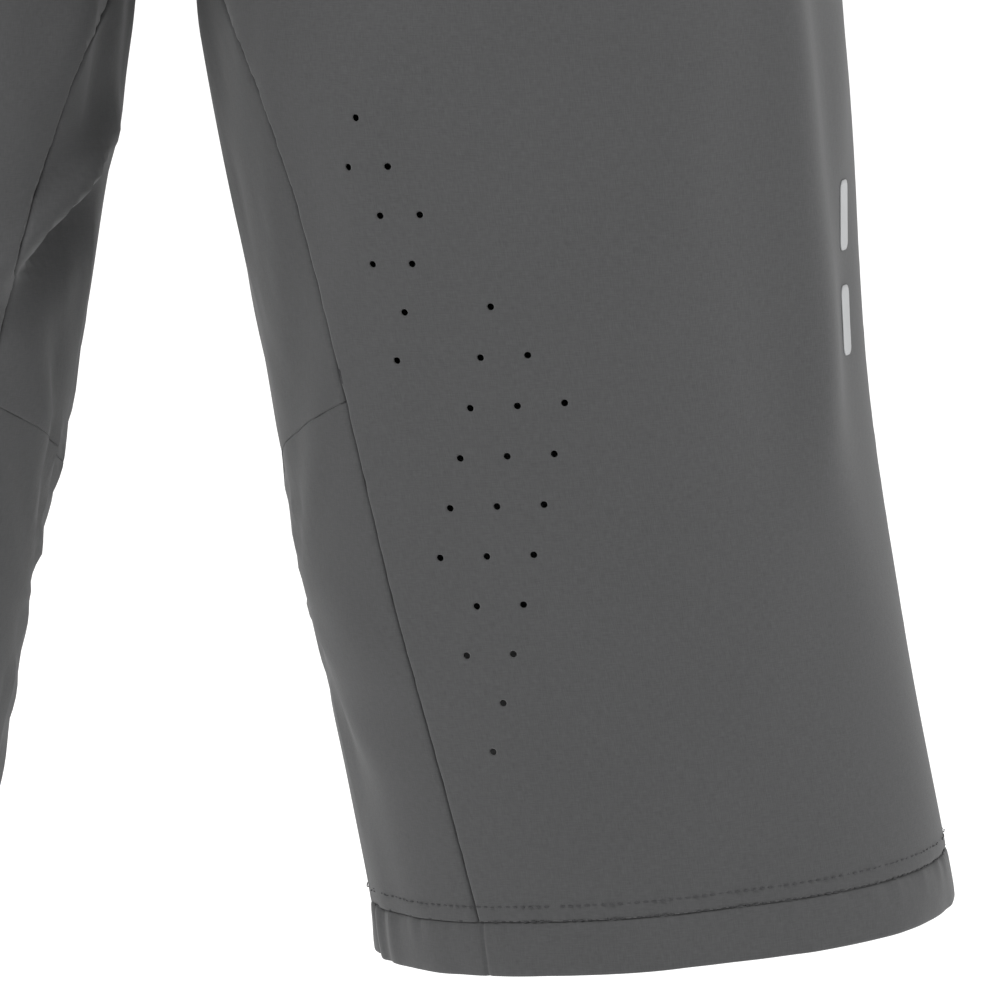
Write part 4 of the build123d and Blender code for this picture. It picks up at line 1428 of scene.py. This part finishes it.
def pocket_bag(skin):
    """A bag of lining behind a pocket zip, rounded at its corners and slightly rippled."""
    across, down = np.meshgrid(np.linspace(-1, 1, 22), np.linspace(1, -1, 34))
    x = 0.110 + 0.0475 * across * np.sqrt(1 - 0.16 * down ** 4)
    z = -0.146 + 0.0795 * down * np.sqrt(1 - 0.12 * across ** 4)
    spots = skin.locate(np.stack([x, z], -1), lambda p: p[..., [0, 2]], lambda grid, n: n[..., 1] < -0.02)
    u, v = spots[:, 0].reshape(x.shape), spots[:, 1].reshape(x.shape)
    deep = -0.0094 + 0.0005 * wander(across * 5 + down * 3, 1.4)
    return Draft().add(skin.pushed(u, v, deep), lattice_faces(*x.shape), np.stack([x, z], -1))


for side in ("left", "right"):
    draft = pocket_bag(skins["left"])
    piece = side_of(side, draft).built(f"pocket_bag_{side}_cloth")
    thicken(piece, 0.0008)
    dress(piece, "garment", "pocket_lining", [f"pocket_bag_{side}"])
    declare(draft)

# ---------------------------------------------------------------- waist adjusters
arc_x = abs(joints["adjuster_slide_left"]["pos_m"][0])
arc_radius = half_wide - arc_x


def arc_stations(section_at, front, back, count):
    stations = []
    for turn in np.linspace(front, back, count):
        section = section_at(turn)
        angle = math.radians(turn)
        radius = arc_radius + section[:, 0]
        stations.append(np.column_stack([arc_x + radius * math.cos(angle), radius * math.sin(angle),
                                         section[:, 1] - band_high / 2]))
    return waist_world(np.array(stations))


def strap(low, high, front, back, height, corner, count=40, tip=None):
    """A flat strip round the side arc, with its corners rounded over `corner` degrees at chosen ends."""
    def section_at(turn):
        from_end = min((turn - front) if tip != "back" else 99, (back - turn) if tip != "front" else 99)
        short = 1 - math.sqrt(max(1 - (1 - min(from_end / corner, 1)) ** 2, 0)) if corner else 0
        piece = rounded_section(high - low, height - 0.010 * short, min((high - low) * 0.45, 0.0006))
        return piece + np.array([(low + high) / 2, 0])
    return swept(arc_stations(section_at, front, back, count))


def arc_line(out, front, back, half_height, count=70):
    """Points and normals of a stitched outline on the side arc."""
    turns = np.concatenate([np.linspace(front, back, count), np.full(14, back),
                            np.linspace(back, front, count),
                            np.full(14, front)])
    ups = np.concatenate([np.full(count, half_height), np.linspace(half_height, -half_height, 14),
                          np.full(count, -half_height), np.linspace(-half_height, half_height, 14)])
    angle = np.radians(turns)
    radius = arc_radius + out
    at = waist_world(np.column_stack([arc_x + radius * np.cos(angle), radius * np.sin(angle),
                                      ups - band_high / 2]))
    return at, waist_world(np.column_stack([np.cos(angle), np.sin(angle), np.zeros(len(angle))]))


def keeper():
    """The webbing loop that the strap runs under."""
    wide, tall = 0.0042, 0.0274
    outer = rounded_section(0.0060, tall, 0.0016) + np.array([0.0023, 0])
    inner_loop = rounded_section(0.0027, 0.0236, 0.0006) + np.array([0.0026, 0])
    rows = 8
    outside = arc_stations(lambda turn: outer, 9.2, 19.8, rows)
    inside = arc_stations(lambda turn: inner_loop, 9.2, 19.8, rows)
    count = len(outer)
    draft = Draft()
    uv = np.stack(np.meshgrid(np.linspace(0, 0.015, rows), np.linspace(0, 0.06, count), indexing="ij"), -1)
    draft.add(outside, lattice_faces(rows, count, wrap=True), uv)
    draft.add(inside, lattice_faces(rows, count, wrap=True), uv)
    first, last = 0, (rows - 1) * count
    total = rows * count
    for base in (first, last):
        draft.faces += [(base + c, base + (c + 1) % count, total + base + (c + 1) % count, total + base + c)
                        for c in range(count)]
    return draft


for side in ("left", "right"):
    tab_body = f"adjuster_tab_{side}"
    patch = strap(-0.0012, 0.0010, -45.5, 7.8, 0.030, 3.0)
    piece = side_of(side, patch).built(f"adjuster_patch_{side}_cloth", turn_out=True)
    dress(piece, "garment", "loop_pile", [f"adjuster_patch_{side}"])
    tab = strap(0.0017, 0.0032, -24.5, 46.0, 0.022, 2.0, 60, "back")
    tab.join(strap(0.0016, 0.0040, -25.0, -4.0, 0.026, 4.0, 26))
    piece = side_of(side, tab).built(f"adjuster_strap_{side}_cloth", turn_out=True)
    dress(piece, tab_body, "strap_weave", [f"adjuster_tab_{side}"])
    loop = keeper()
    piece = side_of(side, loop).built(f"adjuster_keeper_{side}_cloth", turn_out=True)
    dress(piece, "garment", "strap_weave", [f"adjuster_keeper_{side}"])
    turn = 1 if side == "left" else flip
    at, out = arc_line(0.00105, -44.2, 6.4, 0.0130)
    threads["garment", "thread"].append(spaced(at, out) * turn)
    at, out = arc_line(0.00405, -22.8, -6.2, 0.0108, 40)
    threads.setdefault((tab_body, "thread"), []).append(spaced(at, out) * turn)

# ---------------------------------------------------------------- reflective bars on the outer leg
mark_turn = math.radians(78)
mark_out = np.array([math.sin(mark_turn), -math.cos(mark_turn), 0])
mark_across = np.array([math.cos(mark_turn), math.sin(mark_turn), 0])
mark_low, mark_high = box_of("side_mark_left")
mark_middle = (mark_low[2] + mark_high[2]) / 2
for side in ("left", "right"):
    draft = Draft()
    for step in (-0.018, 0.018):
        rings = []
        for share in np.linspace(0.04, 1, 9):
            half_x, half_z, corner = 0.0045 * share, 0.012 * share, 0.003 * share
            turns = np.linspace(0, 2 * math.pi, 48, endpoint=False)
            x = np.sign(np.cos(turns)) * (half_x - corner) + corner * np.cos(turns)
            z = np.sign(np.sin(turns)) * (half_z - corner) + corner * np.sin(turns)
            rings.append(np.stack([x, z + step], -1))
        flat = np.array(rings).reshape(-1, 2)
        centre = np.array([0.138, 0.0])
        spots = skins[side].locate(flat + [-0.004, mark_middle],
                                   lambda p: np.stack([(p[..., 0] - 0.138) * mark_across[0] + p[...,
                                                                                                1] * mark_across[1],
                                                       p[..., 2]], -1),
                                   lambda grid, n: n @ mark_out > 0.3)
        at = skins[side].pushed(spots[:, 0], spots[:, 1], 0.00035)
        faces = lattice_faces(9, 48, wrap=True) + [tuple(range(48))]
        draft.add(at, faces, flat)
    piece = side_of(side, draft).built(f"side_bars_{side}")
    thicken(piece, 0.0003)
    dress(piece, "garment", "film", [f"side_mark_{side}"])

# ---------------------------------------------------------------- liner
liner_cut = Cut(liner_skin, has_fly=False)
liner_crotch = liner_shape.crotch_row / (len(liner_shape.heights) - 1)
grip_share = float(liner_shape.share_of(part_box("leg_gripper_left")[1][2]))


def liner_rows(first, last, left, right, count, sides, ends, seed):
    rows = rows_between(first, last, 0.007, ends)
    u, v, out = strip(liner_skin, rows, left, right, count, sides, ends, seed)
    out = np.maximum(out, -0.0006)
    return Draft().add(liner_skin.pushed(u, v, out - 0.0002), lattice_faces(*u.shape),
                       np.stack([u * cloth_round, v * 0.5], -1))


front = liner_rows(0.0, liner_crotch, at_zero, liner_cut.side, 34, (False, True), (True, True), 3.0)
back = liner_rows(0.0, liner_crotch, liner_cut.side, at_one, 34, (True, False), (True, True), 4.0)
for name, draft, length in (("liner_front", front, 0.225), ("liner_back", back, 0.240)):
    whole = Draft().join(draft).join(draft.mirrored())
    piece = whole.built(f"{name}_knit", weld=2e-5)
    thicken(piece, 0.0009)
    dress(piece, "garment", "liner_knit", [name])
    declare(whole)
for side in ("left", "right"):
    draft = liner_rows(liner_crotch, grip_share, at_zero, at_one, 72, (False, False), (True, True), 5.0)
    piece = side_of(side, draft).built(f"liner_leg_{side}_knit", weld=2e-5)
    thicken(piece, 0.0009)
    dress(piece, "garment", "liner_knit", [f"liner_leg_{side}"])
    declare(draft)
    rows = rows_between(grip_share, 1.0, 0.003, (True, True))
    u, v, out = strip(liner_skin, rows, at_zero, at_one, 110, (False, False), (True, True), 6.0)
    draft = Draft().add(liner_skin.pushed(u, v, out * 0.6 + 0.0002), lattice_faces(*u.shape),
                        np.stack([u * cloth_round, v * 0.5], -1))
    piece = side_of(side, draft).built(f"leg_gripper_{side}_band", weld=2e-5)
    thicken(piece, 0.0020)
    dress(piece, "garment", "grip_rubber", [f"leg_gripper_{side}"])
    declare(draft)

section = rounded_section(0.0022, 0.036, 0.0009, sag=0.0004)
turns = np.linspace(0, 2 * math.pi, 160, endpoint=False)
stations = []
for turn in turns:
    x, y = 0.1469 * math.sin(turn), -0.1009 * math.cos(turn)
    normal = unit(np.array([x / 0.1469 ** 2, y / 0.1009 ** 2]))
    wave = 0.0004 * wander(turn * 9, 2.0) * math.sin(turn / 2) ** 2
    stations.append(np.column_stack([np.array([x, y]) + normal * (section[:, :1] + wave),
                                     section[:, 1] - 0.018]))
piece = swept(waist_world(np.array(stations)), closed=True).built("liner_band", turn_out=True)
dress(piece, "garment", "elastic_rib", ["liner_waistband"])


# ---------------------------------------------------------------- pads and their covers
def pad_field(site, grow, lift, channels, rings=40, spokes=110, flange=0.0):
    """The outer face of a pad or its cover over the liner, crowned, with pressed channels."""
    wide, high, centre, drop, angle = site
    turn = math.radians(angle)
    outward = np.array([math.sin(turn), -math.cos(turn), 0])
    across = np.array([math.cos(turn), math.sin(turn), 0])
    half_x, half_z = wide / 2 + grow, high / 2 + grow
    reach = 1 + flange / min(half_x, half_z)
    inner = np.linspace(0.02, 1, rings) ** 0.85
    shares = np.concatenate([inner, np.linspace(1, reach, 5)[1:]]) if flange else inner
    turns = np.linspace(0, 2 * math.pi, spokes, endpoint=False)
    share, angle_at = np.meshgrid(shares, turns, indexing="ij")
    grown = np.maximum(share - 1, 0) * min(half_x, half_z)
    x = (half_x * np.minimum(share, 1) + grown) * np.cos(angle_at)
    z = (half_z * np.minimum(share, 1) + grown) * np.sin(angle_at)
    targets = np.stack([x, z - drop], -1).reshape(-1, 2)
    flatten = lambda p: np.stack([(p - centre) @ across, p[..., 2]], -1)
    facing = lambda grid, n: n @ outward > 0.05
    crosses = abs(centre[0]) < 1e-6
    wanted = targets * np.where(crosses & (targets[:, :1] * across[0] < 0), [-1, 1], [1, 1])
    spots = liner_skin.locate(wanted, flatten, facing)
    inside = (1 - share) * min(half_x, half_z)
    shoulder = 1 - np.clip(inside / 0.0085, 0, 1)
    rise = np.sqrt(np.maximum(1 - shoulder ** 2.2, 0))
    crown = 0.86 + 0.14 * (1 - share.clip(0, 1) ** 2)
    press = np.zeros_like(x)
    for kind, at in channels:
        line = x if kind == "x" else z
        bend = 0.10 * (z if kind == "x" else x) ** 2 / max(half_x, half_z)
        press = np.maximum(press, bell(abs(line) - at - bend, 0.0026))
    out = (lift * rise * crown * (1 - 0.42 * press)).reshape(-1)
    at = liner_skin.at(spots[:, 0], spots[:, 1])
    normal = liner_skin.normal(spots[:, 0], spots[:, 1])
    if crosses:
        swap = np.where(targets[:, :1] * across[0] < 0, flip, np.ones(3))
        at, normal = at * swap, normal * swap
    return at, normal, out, share.shape, np.stack([x, z], -1)


sites = {
    "hip": ((0.104, 0.140, np.array([0.112, 0.007, 0]), 0.196, 90),
            (("x", 0.017), ("z", 0.023), ("z", 0.050))),
    "thigh": ((0.092, 0.130, np.array([0.112, 0.005, 0]), 0.366, 38),
              (("x", 0.015), ("z", 0.022), ("z", 0.047))),
    "seat": ((0.086, 0.096, np.array([0.080, 0.0, 0]), 0.206, 180), (("x", 0.014), ("z", 0.016))),
    "tail": ((0.046, 0.104, np.array([0.0, 0.0, 0]), 0.150, 180), (("z", 0.018), ("z", 0.038))),
}


def pad_pair(label, site, channels, side):
    suffix = f"_{side}" if side else ""
    turned = Draft.mirrored if side == "right" else (lambda draft: draft)
    at, normal, out, shape, uv = pad_field(site, 0.001, 0.0108, channels, flange=0.005)
    top = at + normal * (out + 0.0010)[:, None]
    faces = lattice_faces(*shape, wrap=True) + [tuple(range(shape[1]))]
    cover = Draft().add(top, faces, uv)
    piece = turned(cover).built(f"{label}_pad_cover{suffix}_cloth", turn_out=False)
    thicken(piece, 0.0006)
    dress(piece, "garment", "pad_cloth", [f"{label}_pad_cover{suffix}"])
    ring = top.reshape(*shape, 3)[-3]
    ring_out = normal.reshape(*shape, 3)[-3]
    line = np.concatenate([ring, ring[:1]]) + 0.0001 * np.concatenate([ring_out, ring_out[:1]])
    spots = spaced(line, np.concatenate([ring_out, ring_out[:1]]), 0.0032)
    threads["garment", "thread"].append(spots * (flip if side == "right" else 1))
    at, normal, out, shape, uv = pad_field(site, 0.0, 0.0100, channels, 26, 72)
    top, under = at + normal * out[:, None], at + normal * 0.0003
    rim = shape[1]
    foam = Draft().add(top, lattice_faces(*shape, wrap=True) + [tuple(range(rim))], uv)
    foam.add(under, [face[::-1] for face in lattice_faces(*shape, wrap=True)] + [tuple(range(rim))], uv)
    last = (shape[0] - 1) * rim
    total = shape[0] * rim
    foam.faces += [(last + c, total + last + c, total + last + (c + 1) % rim,
                    last + (c + 1) % rim) for c in range(rim)]
    piece = turned(foam).built(f"{label}_pad{suffix}_foam", weld=1e-5, turn_out=True)
    dress(piece, "garment", "foam_cells", [f"{label}_pad{suffix}"])


for label, (site, channels) in sites.items():
    for side in (("left", "right") if label != "tail" else ("",)):
        pad_pair(label, site, channels, side)

# ---------------------------------------------------------------- all the sewing
for index, ((body, tone), spots) in enumerate(sorted(threads.items())):
    beads(f"stitches_{body}_{tone}", spots, body, tone, stitch_length, 2 * thread_radius,
          2 * thread_radius,
          0.15, index)


# ---------------------------------------------------------------- floor, light and camera
def floor_material():
    made = Finish("pale_floor", specular=0.1)
    slow = made.noise(made.place(), (0.5, 0.5, 0.5), 2.0)
    shade = mixed(made.build, slow, (0.93, 0.93, 0.93, 1), (0.96, 0.96, 0.96, 1))
    made.shader.inputs["Emission Color"].default_value = (1, 1, 1, 1)
    made.shader.inputs["Emission Strength"].default_value = 0.16
    return made.finish(shade, slow * 0.1 + 0.8)


floor = Draft().add([(-30, -30, -0.80), (30, -30, -0.80), (30, 30, -0.80), (-30, 30, -0.80)],
                    [(0, 1, 2, 3)])
floor = floor.built("floor", flat=True)
floor.data.materials.append(floor_material())

scene = bpy.context.scene
world = bpy.data.worlds.new("studio")
scene.world = world
world.use_nodes = True
background = world.node_tree.nodes["Background"]
background.inputs[0].default_value = (1, 1, 1, 1)
background.inputs[1].default_value = 1.0

camera_data = bpy.data.cameras.new("camera")
camera = bpy.data.objects.new("camera", camera_data)
bpy.context.collection.objects.link(camera)
scene.camera = camera
target = Vector((0.1127, -0.09, -0.4757))
raised, distance, focal_length = math.radians(8), 2.6, 280.5
camera.location = target + Vector((0, -distance * math.cos(raised), distance * math.sin(raised)))
camera.rotation_euler = (target - camera.location).to_track_quat("-Z", "Y").to_euler()
camera_data.lens = focal_length
camera_data.clip_end = 80


def soft_light(name, at, towards, size, power):
    data = bpy.data.lights.new(name, "AREA")
    data.shape = "DISK"
    data.size = size
    data.energy = power
    made = bpy.data.objects.new(name, data)
    bpy.context.collection.objects.link(made)
    made.location = at
    made.visible_camera = False
    made.rotation_euler = (Vector(towards) - Vector(at)).to_track_quat("-Z", "Y").to_euler()


soft_light("key", (-0.8, -1.2, 1.1), (0.08, 0, -0.32), 0.5, 24)
soft_light("side", (2.6, -0.9, 0.7), (0.1, 0, -0.4), 0.7, 24)
soft_light("other_side", (-2.6, -0.6, 0.7), (0.0, 0, -0.3), 1.0, 8)
scene.view_settings.view_transform = "Standard"
